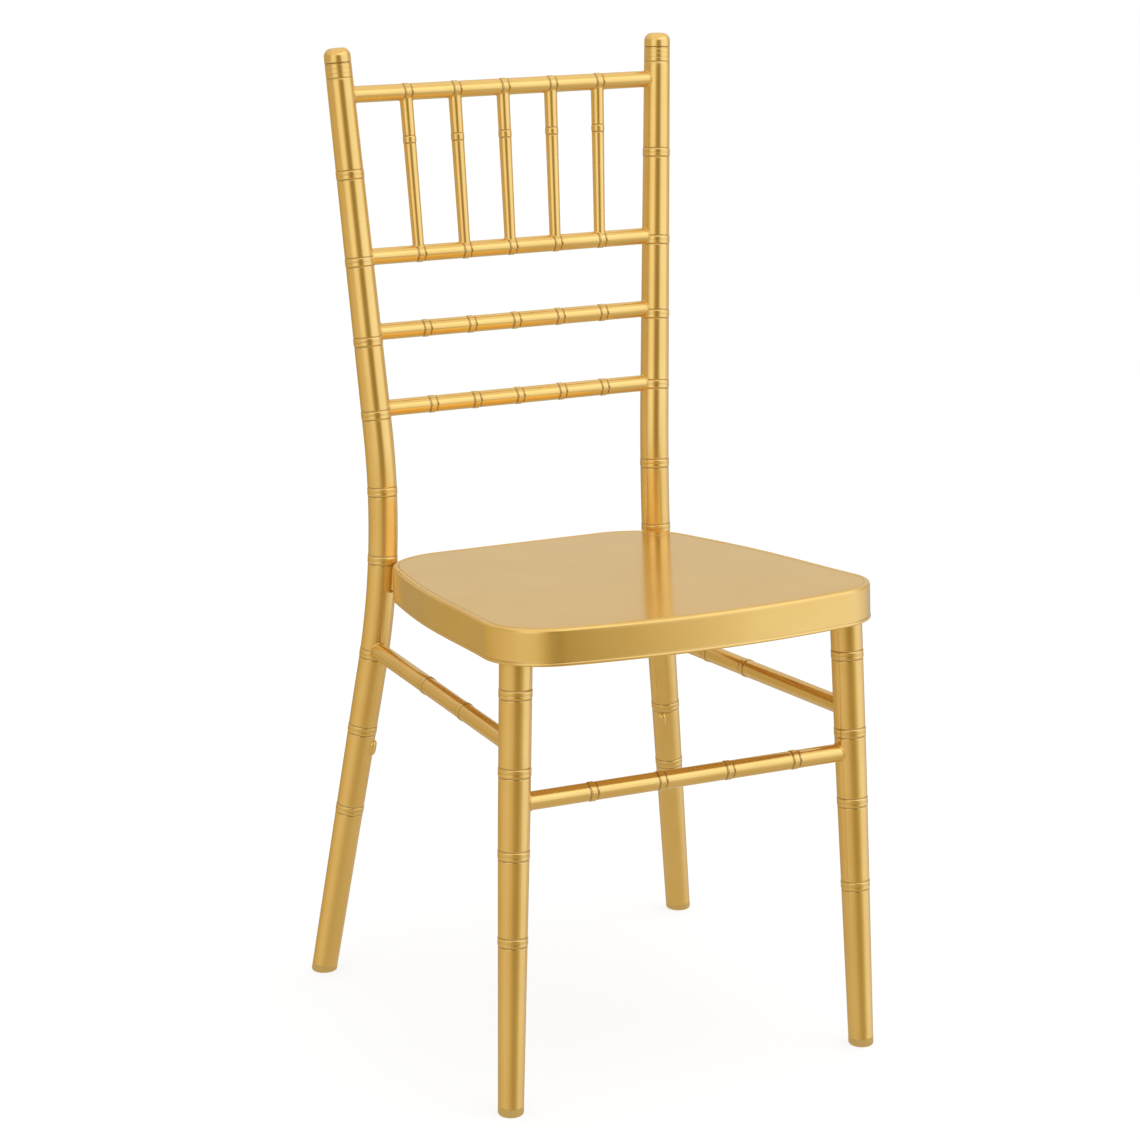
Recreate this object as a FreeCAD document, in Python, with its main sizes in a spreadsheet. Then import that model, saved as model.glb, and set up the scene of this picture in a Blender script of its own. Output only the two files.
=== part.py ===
import FreeCAD, Part

import math
import os

import Sketcher
from FreeCAD import Placement, Rotation, Vector

# Chiavari chair in gold painted steel tube: bamboo nodes, pressed steel seat, welded joints.
# Millimetres. +Z up, floor at Z = 0, +Y to the back, left and right as seen from the front.
# The origin is under the middle of the chair's outline.

# Driving sizes
SIZES = {
    "overall_height": 920.0,
    # Centre line of the back posts: foot, knee and top
    "post_foot_half_spread": 201.8,
    "post_foot_back": 217.1,
    "post_knee_half_spread": 143.5,
    "post_knee_back": 167.9,
    "post_knee_height": 440.6,
    "post_top_half_spread": 170.5,
    "post_top_back": 218.5,
    "post_bend_radius": 825.0,
    "post_top_diameter": 25.4,
    "post_bend_diameter": 28.4,
    "post_foot_diameter": 25.0,
    "post_taper_below_bend": 34.0,
    "post_wall": 1.5,
    # Bamboo nodes of the posts: heights, rises above the seat or a rail, drops from a rail or the top
    "low_node_height": 172.9,
    "left_bumper_node_height": 253.7,
    "right_bumper_node_height": 237.0,
    "rung_node_height": 334.4,
    "seat_node_rise": 1.9,
    "back_node_rise": 66.5,
    "lower_cross_node_drop": 4.8,
    "upper_cross_node_drop": 6.7,
    "spindle_rail_node_drop": 3.4,
    "high_node_drop": 118.0,
    "cap_node_drop": 21.0,
    # Rounded caps that close the posts
    "cap_height": 14.0,
    "cap_corner_radius": 8.5,
    # Centre line and taper of the front legs
    "leg_foot_half_spread": 184.0,
    "leg_foot_front": 185.8,
    "leg_head_half_spread": 166.9,
    "leg_head_front": 165.4,
    "leg_head_diameter": 30.0,
    "leg_waist_diameter": 29.0,
    "leg_foot_diameter": 23.6,
    "leg_taper_height": 275.0,
    "leg_wall": 1.5,
    # Bamboo nodes of the front legs, rolled at slightly different heights on each
    "left_leg_node_1": 159.5,
    "left_leg_node_2": 239.8,
    "left_leg_node_3": 315.0,
    "left_leg_node_4": 386.0,
    "right_leg_node_1": 156.6,
    "right_leg_node_2": 238.2,
    "right_leg_node_3": 306.6,
    "right_leg_node_4": 379.5,
    # Rolled nodes on posts and legs
    "node_length": 8.5,
    "node_rise": 0.45,
    "node_ramp": 1.2,
    "node_root": 0.6,
    # Plastic glides and the shanks of glides and caps
    "glide_height": 8.0,
    "glide_bevel_height": 4.5,
    "glide_bevel_depth": 2.6,
    "plug_length": 14.0,
    "plug_clearance": 0.15,
    # Back rails, straight tubes with collars, coped onto the posts
    "top_rail_drop": 45.0,
    "spindle_rail_spacing": 152.9,
    "upper_cross_spacing": 71.6,
    "lower_cross_spacing": 73.4,
    "rail_diameter": 16.0,
    "rail_wall": 1.2,
    "collar_length": 9.5,
    "collar_rise": 0.6,
    "collar_ramp": 1.4,
    "top_rail_pitch": 51.0,
    "spindle_rail_pitch": 48.5,
    "upper_cross_pitch": 47.5,
    "lower_cross_pitch": 46.3,
    # Spindles between the top rail and the spindle rail
    "spindle_top_diameter": 12.8,
    "spindle_bottom_diameter": 10.8,
    "spindle_wall": 1.0,
    "spindle_node_drop": 45.0,
    "spindle_collar_length": 7.0,
    "spindle_collar_rise": 0.4,
    "spindle_collar_ramp": 1.2,
    # Rungs below the seat
    "rung_diameter": 17.0,
    "rung_wall": 1.2,
    "front_rung_height": 289.5,
    "front_rung_first_node": 75.8,
    "front_rung_pitch": 69.5,
    "left_rung_back_height": 340.0,
    "left_rung_front_height": 341.0,
    "left_rung_node_1": 141.2,
    "left_rung_node_2": 233.4,
    "right_rung_back_height": 315.0,
    "right_rung_front_height": 330.0,
    "right_rung_node_1": 98.8,
    "right_rung_node_2": 170.7,
    # Pressed seat pan
    "seat_front": 229.3,
    "seat_height": 441.2,
    "seat_tilt": 4.12,
    "skirt_height": 33.2,
    "seat_sheet": 1.5,
    "seat_side_flare": 7.35,
    "seat_bow_radius": 700.0,
    "seat_front_corner_radius": 62.0,
    "seat_back_corner_radius": 68.0,
    "seat_edge_radius": 2.6,
    "seat_contact_angle": 42.7,
    # Spacer between the pan's back corner and the post
    "saddle_gap": 2.6,
    "saddle_width": 13.0,
    "saddle_height": 22.0,
    # Corner plates and sockets under the pan that hold the front legs
    "lining_clearance": 1.6,
    "bracket_thickness": 3.0,
    "bracket_length": 30.0,
    "bracket_corner_radius": 8.0,
    "socket_height": 20.0,
    "socket_wall": 2.5,
    "socket_clearance": 0.2,
    # Rectangular tubes welded across under the pan
    "crossbar_width": 22.0,
    "crossbar_height": 12.0,
    "crossbar_wall": 1.5,
    "crossbar_corner_radius": 2.5,
    "front_crossbar_forward": 262.0,
    "back_crossbar_forward": 95.0,
    # Bumpers that keep stacked chairs from rubbing
    "bumper_drop": 13.0,
    "bumper_height": 16.0,
    "bumper_width": 9.0,
    "bumper_proud": 2.6,
    "bumper_corner_radius": 4.2,
    "bumper_edge_radius": 1.2,
    "bumper_turn": 45.0,
    # How far cutting tools run past what they cut
    "overshoot": 5.0,
}
SIDES = {"left": -1, "right": 1}
COLLARS_PER_RAIL = 5
FRONT_RUNG_NODES = 4

os.makedirs("parts", exist_ok=True)
doc = FreeCAD.newDocument("chiavari_chair")
sheet = doc.addObject("Spreadsheet::Sheet", "Sizes")
cells_used = 0
finished = []


def put(alias, value):
    """Write one number into the sheet and return the name that expressions use for it."""
    global cells_used
    cells_used += 1
    sheet.set(f"A{cells_used}", alias.replace("_", " "))
    sheet.set(f"B{cells_used}", repr(round(float(value), 6)))
    sheet.setAlias(f"B{cells_used}", alias)
    return f"Sizes.{alias}"


for size_name, size_value in SIZES.items():
    put(size_name, size_value)
doc.recompute()


def size(alias):
    """A driving size read back from the sheet."""
    return float(getattr(sheet, alias))


overshoot = size("overshoot")


# Bodies, sketches and booleans

def new_body(name, placement):
    """An empty body with its own name and place."""
    body = doc.addObject("PartDesign::Body", name)
    body.Label = name
    body.Placement = placement
    return body


def attach(body, name, role, offset):
    """A sketch on one of the body's own origin planes, moved within it by an offset."""
    sketch = body.newObject("Sketcher::SketchObject", name)
    plane = next(item for item in body.Origin.OriginFeatures if item.Role == role)
    sketch.AttachmentSupport = [(plane, "")]
    sketch.MapMode = "FlatFace"
    sketch.AttachmentOffset = offset
    return sketch


def bind(sketch, kind, geometry, vertex, value, expression):
    """Hold one coordinate of a sketch point at a cell, or on the axis where it is zero."""
    if abs(value) < 1e-9:
        axis = -2 if kind == "DistanceX" else -1
        sketch.addConstraint(Sketcher.Constraint("PointOnObject", geometry, vertex, axis))
        return
    index = sketch.addConstraint(Sketcher.Constraint(kind, -1, 1, geometry, vertex, value))
    sketch.setExpression(f"Constraints[{index}]", expression)


def polygon(sketch, name, corners):
    """Close a run of straight lines through the corners, each held by its own two cells."""
    count = len(corners)
    for index, start in enumerate(corners):
        end = corners[(index + 1) % count]
        sketch.addGeometry(Part.LineSegment(Vector(*start, 0), Vector(*end, 0)))
    for index in range(count):
        sketch.addConstraint(Sketcher.Constraint("Coincident", index, 2, (index + 1) % count, 1))
    for index, (across, up) in enumerate(corners):
        bind(sketch, "DistanceX", index, 1, across, put(f"{name}_x_{index}", across))
        bind(sketch, "DistanceY", index, 1, up, put(f"{name}_y_{index}", up))


def turn(body, name, stations, offset=Placement()):
    """Revolve a half section, given as distance along the axis and radius, about that axis."""
    corners = [(0.0, stations[0][0])]
    corners += [(radius, along) for along, radius in stations]
    corners.append((0.0, stations[-1][0]))
    sketch = attach(body, f"{name}_section", "XZ_Plane", offset)
    polygon(sketch, name, corners)
    feature = body.newObject("PartDesign::Revolution", name)
    feature.Profile = sketch
    feature.ReferenceAxis = (sketch, ["V_Axis"])
    feature.Angle = 360.0
    return feature


def round_edges(body, name, radius, wanted):
    """Fillet the edges of the body's last feature that the test picks."""
    base = body.Tip
    doc.recompute([base])
    names = [f"Edge{index}" for index, edge in enumerate(base.Shape.Edges, 1) if wanted(edge)]
    fillet = body.newObject("PartDesign::Fillet", name)
    fillet.Base = (base, names)
    fillet.setExpression("Radius", put(f"{name}_radius", radius))
    return fillet


def is_upright(edge):
    """True for a straight edge along the body's own Z."""
    box = edge.BoundBox
    return box.XLength < 1e-3 and box.YLength < 1e-3


def rounded_block(name, lengths, corner_radius, placement):
    """A block from its own origin with its four Z edges rounded."""
    body = new_body(name, placement)
    length, width, height = lengths
    sketch = attach(body, f"{name}_outline", "XY_Plane", Placement())
    polygon(sketch, f"{name}_side", [(0.0, 0.0), (length, 0.0), (length, width), (0.0, width)])
    pad = body.newObject("PartDesign::Pad", f"{name}_pad")
    pad.Profile = sketch
    pad.setExpression("Length", put(f"{name}_height", height))
    round_edges(body, f"{name}_corners", corner_radius, is_upright)
    return body


def block(name, lengths, placement):
    """A plain box from its own origin, used to cut or trim."""
    box = doc.addObject("Part::Box", name)
    for side, value in zip(("Length", "Width", "Height"), lengths):
        box.setExpression(side, put(f"{name}_{side.lower()}", value))
    box.Placement = placement
    return box


def cylinder(name, radius, height, placement):
    """A plain cylinder along its own Z."""
    solid = doc.addObject("Part::Cylinder", name)
    solid.setExpression("Radius", put(f"{name}_radius", radius))
    solid.setExpression("Height", put(f"{name}_height", height))
    solid.Placement = placement
    return solid


def pair(kind, name, base, tool):
    """One boolean of two objects."""
    result = doc.addObject(f"Part::{kind}", name)
    result.Base = base
    result.Tool = tool
    return result


def cope(name, base, tools):
    """The base less each of the tools in turn."""
    for number, tool in enumerate(tools, 1):
        last = number == len(tools)
        base = pair("Cut", name if last else f"{name}_cut_{number}", base, tool)
    return base


def finish(piece):
    """Keep an object as a finished piece under its own name."""
    piece.Label = piece.Name
    finished.append(piece)
    return piece


def blend(low, high, share):
    """A value part of the way from low to high."""
    return low + (high - low) * share


def node_stations(centre, radius, length, rise, ramp):
    """Four points of one raised node: foot, shoulder, shoulder and foot."""
    half = length / 2
    return [
        (centre - half, radius),
        (centre - half + ramp, radius + rise),
        (centre + half - ramp, radius + rise),
        (centre + half, radius),
    ]


def bamboo_node(centre, radius):
    """A rolled node of the posts and legs."""
    return node_stations(centre, radius, size("node_length"), size("node_rise"), size("node_ramp"))


def collar(kind, centre, radius):
    """A raised collar of the rails and rungs, or a spindle's smaller one."""
    return node_stations(centre, radius, size(f"{kind}_length"), size(f"{kind}_rise"), size(f"{kind}_ramp"))


def along_line(start, end):
    """A frame at start with Z towards end."""
    return Placement(start, Rotation(Vector(0, 0, 1), end - start))


# Seat plane: higher at the front

seat_slope = math.tan(math.radians(size("seat_tilt")))


def seat_top(back):
    """Height of the seat's top face at a distance towards the back."""
    return size("seat_height") - seat_slope * back


# Heights of the back rails and of the posts' nodes

top_rail_height = size("overall_height") - size("top_rail_drop")
spindle_rail_height = top_rail_height - size("spindle_rail_spacing")
upper_cross_height = spindle_rail_height - size("upper_cross_spacing")
lower_cross_height = upper_cross_height - size("lower_cross_spacing")
seat_node_height = seat_top(size("post_knee_back")) + size("seat_node_rise")


def post_nodes(side_name):
    """Heights of the nodes of one post, from the floor up."""
    return [
        size("low_node_height"),
        size(f"{side_name}_bumper_node_height"),
        size("rung_node_height"),
        seat_node_height,
        seat_top(size("post_knee_back")) + size("back_node_rise"),
        lower_cross_height - size("lower_cross_node_drop"),
        upper_cross_height - size("upper_cross_node_drop"),
        spindle_rail_height - size("spindle_rail_node_drop"),
        size("overall_height") - size("high_node_drop"),
        size("overall_height") - size("cap_node_drop"),
    ]


# Centre line of a post: straight from the foot, one long bend at the knee, straight to the top

def post_corners(side):
    """Foot, knee and top of a post, before the knee is rounded."""
    foot = Vector(side * size("post_foot_half_spread"), size("post_foot_back"), 0)
    knee = Vector(side * size("post_knee_half_spread"), size("post_knee_back"), size("post_knee_height"))
    top = Vector(side * size("post_top_half_spread"), size("post_top_back"), size("overall_height"))
    return foot, knee, top


def post_directions(side):
    """Directions of the lower run, of the bend's side and of the upper run."""
    foot, knee, top = post_corners(side)
    lower = (knee - foot).normalize()
    upper = (top - knee).normalize()
    across = (upper - lower * upper.dot(lower)).normalize()
    return lower, across, upper


def post_frame(side):
    """A post's own frame: origin at the floor, Z up the lower run, X to the bend's side."""
    lower, across, _ = post_directions(side)
    return Placement(post_corners(side)[0], Rotation(across, lower.cross(across), lower, "ZXY"))


post_foot, post_knee, post_top = post_corners(1)
post_lower, post_across, post_upper = post_directions(1)
bend_radius = size("post_bend_radius")
bend_angle = post_lower.getAngle(post_upper)
bend_reach = bend_radius * math.tan(bend_angle / 2)
lower_run = (post_knee - post_foot).Length - bend_reach
upper_run = (post_top - post_knee).Length - bend_reach
bend_start_height = lower_run * post_lower.z
bend_end_height = post_top.z - upper_run * post_upper.z

# The cap leans with the post, so its raised edge tops out above its middle by this much
cap_flat_radius = size("post_top_diameter") / 2 - size("cap_corner_radius")
cap_lean = math.acos(post_upper.z)
cap_extra = cap_flat_radius * math.sin(cap_lean) + size("cap_corner_radius") * (1 - math.cos(cap_lean))
cap_end = upper_run - cap_extra / post_upper.z
tube_start = size("glide_height")
tube_end = cap_end - size("cap_height")


def post_station(height):
    """The run of the post that a height lies on, and the distance or angle along it."""
    if height <= bend_start_height:
        return "lower", height / post_lower.z
    if height >= bend_end_height:
        return "upper", (height - bend_end_height) / post_upper.z
    rise = bend_radius * post_lower.z
    drift = bend_radius * post_across.z
    turned = math.asin((height - bend_start_height - drift) / math.hypot(rise, drift))
    return "bend", turned + math.atan2(drift, rise)


def post_local(height):
    """Centre line at a height in the post's own frame: X, Z and the angle turned so far."""
    run, along = post_station(height)
    if run == "lower":
        return 0.0, along, 0.0
    angle = along if run == "bend" else bend_angle
    extra = along if run == "upper" else 0.0
    x = bend_radius * (1 - math.cos(angle)) + extra * math.sin(angle)
    z = lower_run + bend_radius * math.sin(angle) + extra * math.cos(angle)
    return x, z, angle


def post_point(side, height):
    """Centre line of a post at a height, in the chair's frame."""
    x, z, _ = post_local(height)
    return post_frame(side).multVec(Vector(x, 0, z))


taper_station = lower_run - size("post_taper_below_bend")


def lower_radius(along):
    """Radius of the lower run: it thins from a little below the bend down to the foot."""
    share = min(1.0, along / taper_station)
    return blend(size("post_foot_diameter"), size("post_bend_diameter"), share) / 2


def upper_radius(along):
    """Radius of the upper run: it thins evenly to the top."""
    return blend(size("post_bend_diameter"), size("post_top_diameter"), along / upper_run) / 2


def post_radius(height):
    """Radius of the plain post at a height."""
    run, along = post_station(height)
    if run == "lower":
        return lower_radius(along)
    if run == "upper":
        return upper_radius(along)
    return size("post_bend_diameter") / 2


# Back posts

def run_stations(run, first, last, inset, nodes):
    """Half section of one straight run of the post, with the nodes that lie on it."""
    radius_at = lower_radius if run == "lower" else upper_radius
    stations = [(first, radius_at(first) - inset)]
    if run == "lower":
        stations.append((taper_station, radius_at(taper_station) - inset))
    for height in nodes:
        node_run, along = post_station(height)
        if node_run == run:
            stations += bamboo_node(along, radius_at(along))
    stations.append((last, radius_at(last) - inset))
    return sorted(stations)


def rooted_node(radius):
    """A node for the bend, from its own start, with its ramps carried on below the surface."""
    ramp = size("node_ramp") * (1 + size("node_root") / size("node_rise"))
    length = size("node_length") + 2 * (ramp - size("node_ramp"))
    return node_stations(length / 2, radius - size("node_root"), length,
                         size("node_rise") + size("node_root"), ramp)


def bend_offset(height):
    """Sketch offset that stands the sketch square to the post at a height."""
    x, z, angle = post_local(height)
    return Placement(Vector(x, z, 0), Rotation(Vector(0, 0, 1), -math.degrees(angle)))


def bent_tube(name, side, inset, nodes, first, last):
    """The post's outer form with its nodes, or its bore, where the inset is the wall."""
    body = new_body(name, post_frame(side))
    turn(body, f"{name}_lower", run_stations("lower", first, lower_run, inset, nodes))

    # A circle square to the post, swung about a line one bend radius to its side
    ring = attach(body, f"{name}_ring", "XY_Plane", Placement(Vector(0, 0, lower_run), Rotation()))
    ring_radius = size("post_bend_diameter") / 2 - inset
    ring.addGeometry(Part.Circle(Vector(0, 0, 0), Vector(0, 0, 1), ring_radius))
    ring.addConstraint(Sketcher.Constraint("Coincident", 0, 3, -1, 1))
    radius_index = ring.addConstraint(Sketcher.Constraint("Radius", 0, ring_radius))
    ring.setExpression(f"Constraints[{radius_index}]", put(f"{name}_ring_radius", ring_radius))
    hinge_line = Part.LineSegment(Vector(bend_radius, 0, 0), Vector(bend_radius, bend_radius, 0))
    hinge = ring.addGeometry(hinge_line, True)
    bind(ring, "DistanceX", hinge, 1, bend_radius, "Sizes.post_bend_radius")
    bind(ring, "DistanceY", hinge, 1, 0.0, "")
    bind(ring, "DistanceX", hinge, 2, bend_radius, "Sizes.post_bend_radius")
    bind(ring, "DistanceY", hinge, 2, bend_radius, "Sizes.post_bend_radius")
    swing = body.newObject("PartDesign::Revolution", f"{name}_bend")
    swing.Profile = ring
    swing.ReferenceAxis = (ring, ["Axis0"])
    swing.setExpression("Angle", put(f"{name}_bend_angle", math.degrees(bend_angle)))

    upper_offset = bend_offset(bend_end_height)
    turn(body, f"{name}_upper", run_stations("upper", 0.0, last, inset, nodes), upper_offset)
    for number, height in enumerate(nodes, 1):
        if post_station(height)[0] == "bend":
            stations = rooted_node(ring_radius)
            offset = bend_offset(height)
            offset.Base = offset.Base - offset.Rotation.multVec(Vector(0, stations[-1][0] / 2, 0))
            turn(body, f"{name}_node_{number}", stations, offset)
    return body


post_forms = {}
for side_name, side in SIDES.items():
    form = bent_tube(f"{side_name}_post_form", side, 0.0, post_nodes(side_name), tube_start, tube_end)
    bore = bent_tube(
        f"{side_name}_post_bore", side, size("post_wall"), [],
        tube_start - overshoot, tube_end + overshoot)
    post_forms[side_name] = form
    finish(cope(f"{side_name}_back_post", form, [bore]))


# Seat pan: straight flared sides, bowed front, rounded corners. Its back corners meet the posts.

contact_height = seat_top(size("post_knee_back")) - size("skirt_height") / 2
contact_post = post_point(1, contact_height)
contact_angle = math.radians(size("seat_contact_angle"))
contact_direction = Vector(math.cos(contact_angle), math.sin(contact_angle), 0)
contact_reach = size("seat_back_corner_radius") + size("saddle_gap") + post_radius(contact_height)
corner_centre = contact_post - contact_direction * contact_reach
seat_back = corner_centre.y + size("seat_back_corner_radius")
flare = math.radians(size("seat_side_flare"))
side_distance = corner_centre.x * math.cos(flare) + corner_centre.y * math.sin(flare)
side_distance += size("seat_back_corner_radius")
bow_centre = size("seat_bow_radius") - size("seat_front")
skirt_height = size("skirt_height")
seat_sheet = size("seat_sheet")

# The pan's own frame: origin at the back edge's middle on the skirt's lower rim, Y to the front
seat_rotation = Rotation(Vector(1, 0, 0), -size("seat_tilt")).multiply(Rotation(Vector(0, 0, 1), 180))
seat_up = seat_rotation.multVec(Vector(0, 0, 1))
seat_frame = Placement(Vector(0, seat_back, seat_top(seat_back)) - seat_up * skirt_height, seat_rotation)


def in_seat(x, y, z, rotation=Rotation()):
    """A place given in the pan's own frame, as a frame of the chair."""
    return seat_frame.multiply(Placement(Vector(x, y, z), rotation))


def pan_blank(name, inset, start, thickness, edge_radius):
    """A solid of the pan's outline, inset all round, from start up through a thickness."""
    body = new_body(name, seat_frame)
    bow = size("seat_bow_radius") - inset
    back_half = (side_distance - inset - (seat_back - inset) * math.sin(flare)) / math.cos(flare)
    reach = side_distance - inset - bow_centre * math.sin(flare)
    along = math.sqrt(bow ** 2 - reach ** 2)
    front_half = reach * math.cos(flare) + along * math.sin(flare)
    front_length = seat_back - bow_centre - reach * math.sin(flare) + along * math.cos(flare)
    crown = Vector(0, seat_back - bow_centre + bow, 0)
    sketch = attach(body, f"{name}_outline", "XY_Plane", Placement(Vector(0, 0, start), Rotation()))
    back_left = Vector(-back_half, inset, 0)
    back_right = Vector(back_half, inset, 0)
    front_right = Vector(front_half, front_length, 0)
    front_left = Vector(-front_half, front_length, 0)
    sketch.addGeometry(Part.LineSegment(back_left, back_right))
    sketch.addGeometry(Part.LineSegment(back_right, front_right))
    sketch.addGeometry(Part.Arc(front_right, crown, front_left))
    sketch.addGeometry(Part.LineSegment(front_left, back_left))
    sketch.addConstraint(Sketcher.Constraint("Coincident", 0, 2, 1, 1))
    sketch.addConstraint(Sketcher.Constraint("Coincident", 1, 2, 2, 1))
    sketch.addConstraint(Sketcher.Constraint("Coincident", 2, 2, 3, 1))
    sketch.addConstraint(Sketcher.Constraint("Coincident", 3, 2, 0, 1))
    sketch.addConstraint(Sketcher.Constraint("Symmetric", 0, 1, 0, 2, -2))
    sketch.addConstraint(Sketcher.Constraint("Symmetric", 3, 1, 1, 2, -2))
    bind(sketch, "DistanceX", 1, 1, back_half, put(f"{name}_back_half", back_half))
    bind(sketch, "DistanceY", 1, 1, inset, put(f"{name}_back_inset", inset))
    bind(sketch, "DistanceX", 1, 2, front_half, put(f"{name}_front_half", front_half))
    bind(sketch, "DistanceY", 1, 2, front_length, put(f"{name}_front_length", front_length))
    bow_index = sketch.addConstraint(Sketcher.Constraint("Radius", 2, bow))
    sketch.setExpression(f"Constraints[{bow_index}]", put(f"{name}_bow_radius", bow))
    pad = body.newObject("PartDesign::Pad", f"{name}_pad")
    pad.Profile = sketch
    pad.setExpression("Length", put(f"{name}_thickness", thickness))
    middle = front_length / 2
    back_radius = size("seat_back_corner_radius") - inset
    front_radius = size("seat_front_corner_radius") - inset
    round_edges(body, f"{name}_back_corners", back_radius,
                lambda edge: is_upright(edge) and edge.BoundBox.Center.y < middle)
    round_edges(body, f"{name}_front_corners", front_radius,
                lambda edge: is_upright(edge) and edge.BoundBox.Center.y > middle + back_radius)
    if edge_radius > 0:
        top = start + thickness
        round_edges(body, f"{name}_rim", edge_radius, lambda edge: edge.BoundBox.ZMin > top - 1e-3)
    return body


pan_form = pan_blank("seat_form", 0.0, 0.0, skirt_height, size("seat_edge_radius"))
pan_hollow = pan_blank(
    "seat_hollow", seat_sheet, -overshoot, skirt_height - seat_sheet + overshoot,
    size("seat_edge_radius") - seat_sheet)
finish(cope("seat_pan", pan_form, [pan_hollow]))

# The space inside the skirt that plates and bars under the seat may fill
lining_inset = seat_sheet + size("lining_clearance")
panel_underside = skirt_height - seat_sheet
pan_lining = pan_blank("seat_lining", lining_inset, 0.0, panel_underside, 0.0)


# Front legs, with the corner plate and socket that holds each one under the seat

leg_head_height = seat_top(-size("leg_head_front"))
leg_foot = Vector(size("leg_foot_half_spread"), -size("leg_foot_front"), 0)
leg_head = Vector(size("leg_head_half_spread"), -size("leg_head_front"), leg_head_height)
leg_slant = (leg_head - leg_foot).Length / leg_head_height
leg_length = leg_head_height * leg_slant
leg_nodes = {
    side_name: [size(f"{side_name}_leg_node_{number}") * leg_slant for number in range(1, 5)]
    for side_name in SIDES}
leg_taper_station = size("leg_taper_height") * leg_slant


def leg_point(side, height):
    """Centre line of a front leg at a height."""
    point = leg_foot + (leg_head - leg_foot) * (height / leg_head_height)
    return Vector(side * point.x, point.y, point.z)


def leg_radius(along):
    """Radius of a front leg: it thins slowly to the taper height, then faster to the foot."""
    if along < leg_taper_station:
        return blend(size("leg_foot_diameter"), size("leg_waist_diameter"), along / leg_taper_station) / 2
    share = (along - leg_taper_station) / (leg_length - leg_taper_station)
    return blend(size("leg_waist_diameter"), size("leg_head_diameter"), share) / 2


def leg_stations(first, last, inset, nodes):
    """Half section of a front leg."""
    stations = [(along, leg_radius(along) - inset) for along in (first, leg_taper_station, last)]
    for along in nodes:
        stations += bamboo_node(along, leg_radius(along))
    return sorted(stations)


plate_underside = panel_underside - size("bracket_thickness")
span = 2 * size("seat_bow_radius")
roof_tool = block("leg_roof", (span, span, span), in_seat(-span / 2, -span / 2, plate_underside))
leg_forms = {}
for side_name, side in SIDES.items():
    leg_frame = along_line(leg_point(side, 0), leg_point(side, leg_head_height))
    form = new_body(f"{side_name}_leg_form", leg_frame)
    turn(form, f"{side_name}_leg_outside", leg_stations(tube_start, leg_length, 0.0, leg_nodes[side_name]))
    bore = new_body(f"{side_name}_leg_bore", leg_frame)
    turn(bore, f"{side_name}_leg_inside",
         leg_stations(tube_start - overshoot, leg_length + overshoot, size("leg_wall"), []))
    leg_forms[side_name] = form
    finish(cope(f"{side_name}_front_leg", form, [bore, roof_tool]))

    # The plate fills the pan's corner, square on its two inner edges
    head = seat_frame.inverse().multVec(leg_point(side, leg_head_height))
    reach = size("bracket_length")
    corner_x = head.x - reach if head.x > 0 else head.x + reach - span
    corner_block = rounded_block(
        f"{side_name}_bracket_block", (span, span, size("bracket_thickness")),
        size("bracket_corner_radius"), in_seat(corner_x, head.y - reach, plate_underside))
    plate = pair("Common", f"{side_name}_bracket_plate", pan_lining, corner_block)
    pocket_radius = size("leg_head_diameter") / 2 + size("socket_clearance")
    socket_length = size("socket_height") + size("bracket_thickness") / 2
    socket_top = leg_length - (seat_sheet + size("bracket_thickness") / 2)
    socket_frame = leg_frame.multiply(Placement(Vector(0, 0, socket_top - socket_length), Rotation()))
    socket = cylinder(
        f"{side_name}_bracket_socket", pocket_radius + size("socket_wall"), socket_length, socket_frame)
    bracket = doc.addObject("Part::MultiFuse", f"{side_name}_bracket_blank")
    bracket.Shapes = [plate, socket]
    pocket = cylinder(f"{side_name}_bracket_bore", pocket_radius, leg_length, leg_frame)
    blind_pocket = cope(f"{side_name}_bracket_pocket", pocket, [roof_tool])
    finish(cope(f"{side_name}_leg_bracket", bracket, [blind_pocket]))


# Crossbars under the seat, cut to the inside of the skirt

bar_span = 2 * size("seat_bow_radius")
for bar_name, forward in (("front", "front_crossbar_forward"), ("back", "back_crossbar_forward")):
    width = size("crossbar_width")
    height = size("crossbar_height")
    wall = size("crossbar_wall")
    sideways = Rotation(Vector(0, 1, 0), Vector(0, 0, 1), Vector(1, 0, 0), "ZXY")
    low_corner = (-bar_span / 2, size(forward) - width / 2, panel_underside - height)
    outside = rounded_block(
        f"{bar_name}_crossbar_outside", (width, height, bar_span),
        size("crossbar_corner_radius"), in_seat(*low_corner, sideways))
    inner_corner = (low_corner[0], low_corner[1] + wall, low_corner[2] + wall)
    inside = rounded_block(
        f"{bar_name}_crossbar_inside", (width - 2 * wall, height - 2 * wall, bar_span),
        size("crossbar_corner_radius") - wall, in_seat(*inner_corner, sideways))
    trimmed = pair("Common", f"{bar_name}_crossbar_trimmed", pan_lining, outside)
    finish(cope(f"seat_{bar_name}_crossbar", trimmed, [inside]))


# Post saddles: a block between skirt and post, coped to both

skirt_depth_cut = size("seat_sheet") + size("saddle_gap")
post_depth_cut = size("post_bend_diameter") / 4
saddle_length = skirt_depth_cut + size("saddle_gap") + post_depth_cut
for side_name, side in SIDES.items():
    toward_post = Vector(side * contact_direction.x, contact_direction.y, 0)
    start = Vector(side * corner_centre.x, corner_centre.y, contact_height - size("saddle_height") / 2)
    start += toward_post * (size("seat_back_corner_radius") - skirt_depth_cut)
    turned = Rotation(toward_post, Vector(0, 0, 1).cross(toward_post), Vector(0, 0, 1), "ZXY")
    start -= turned.multVec(Vector(0, size("saddle_width") / 2, 0))
    blank = block(
        f"{side_name}_saddle_blank", (saddle_length, size("saddle_width"), size("saddle_height")),
        Placement(start, turned))
    finish(cope(f"{side_name}_post_saddle", blank, [pan_form, post_forms[side_name]]))


# Rails, spindles and rungs: straight tubes, coped to what they are welded to

bar_forms = {}


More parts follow.
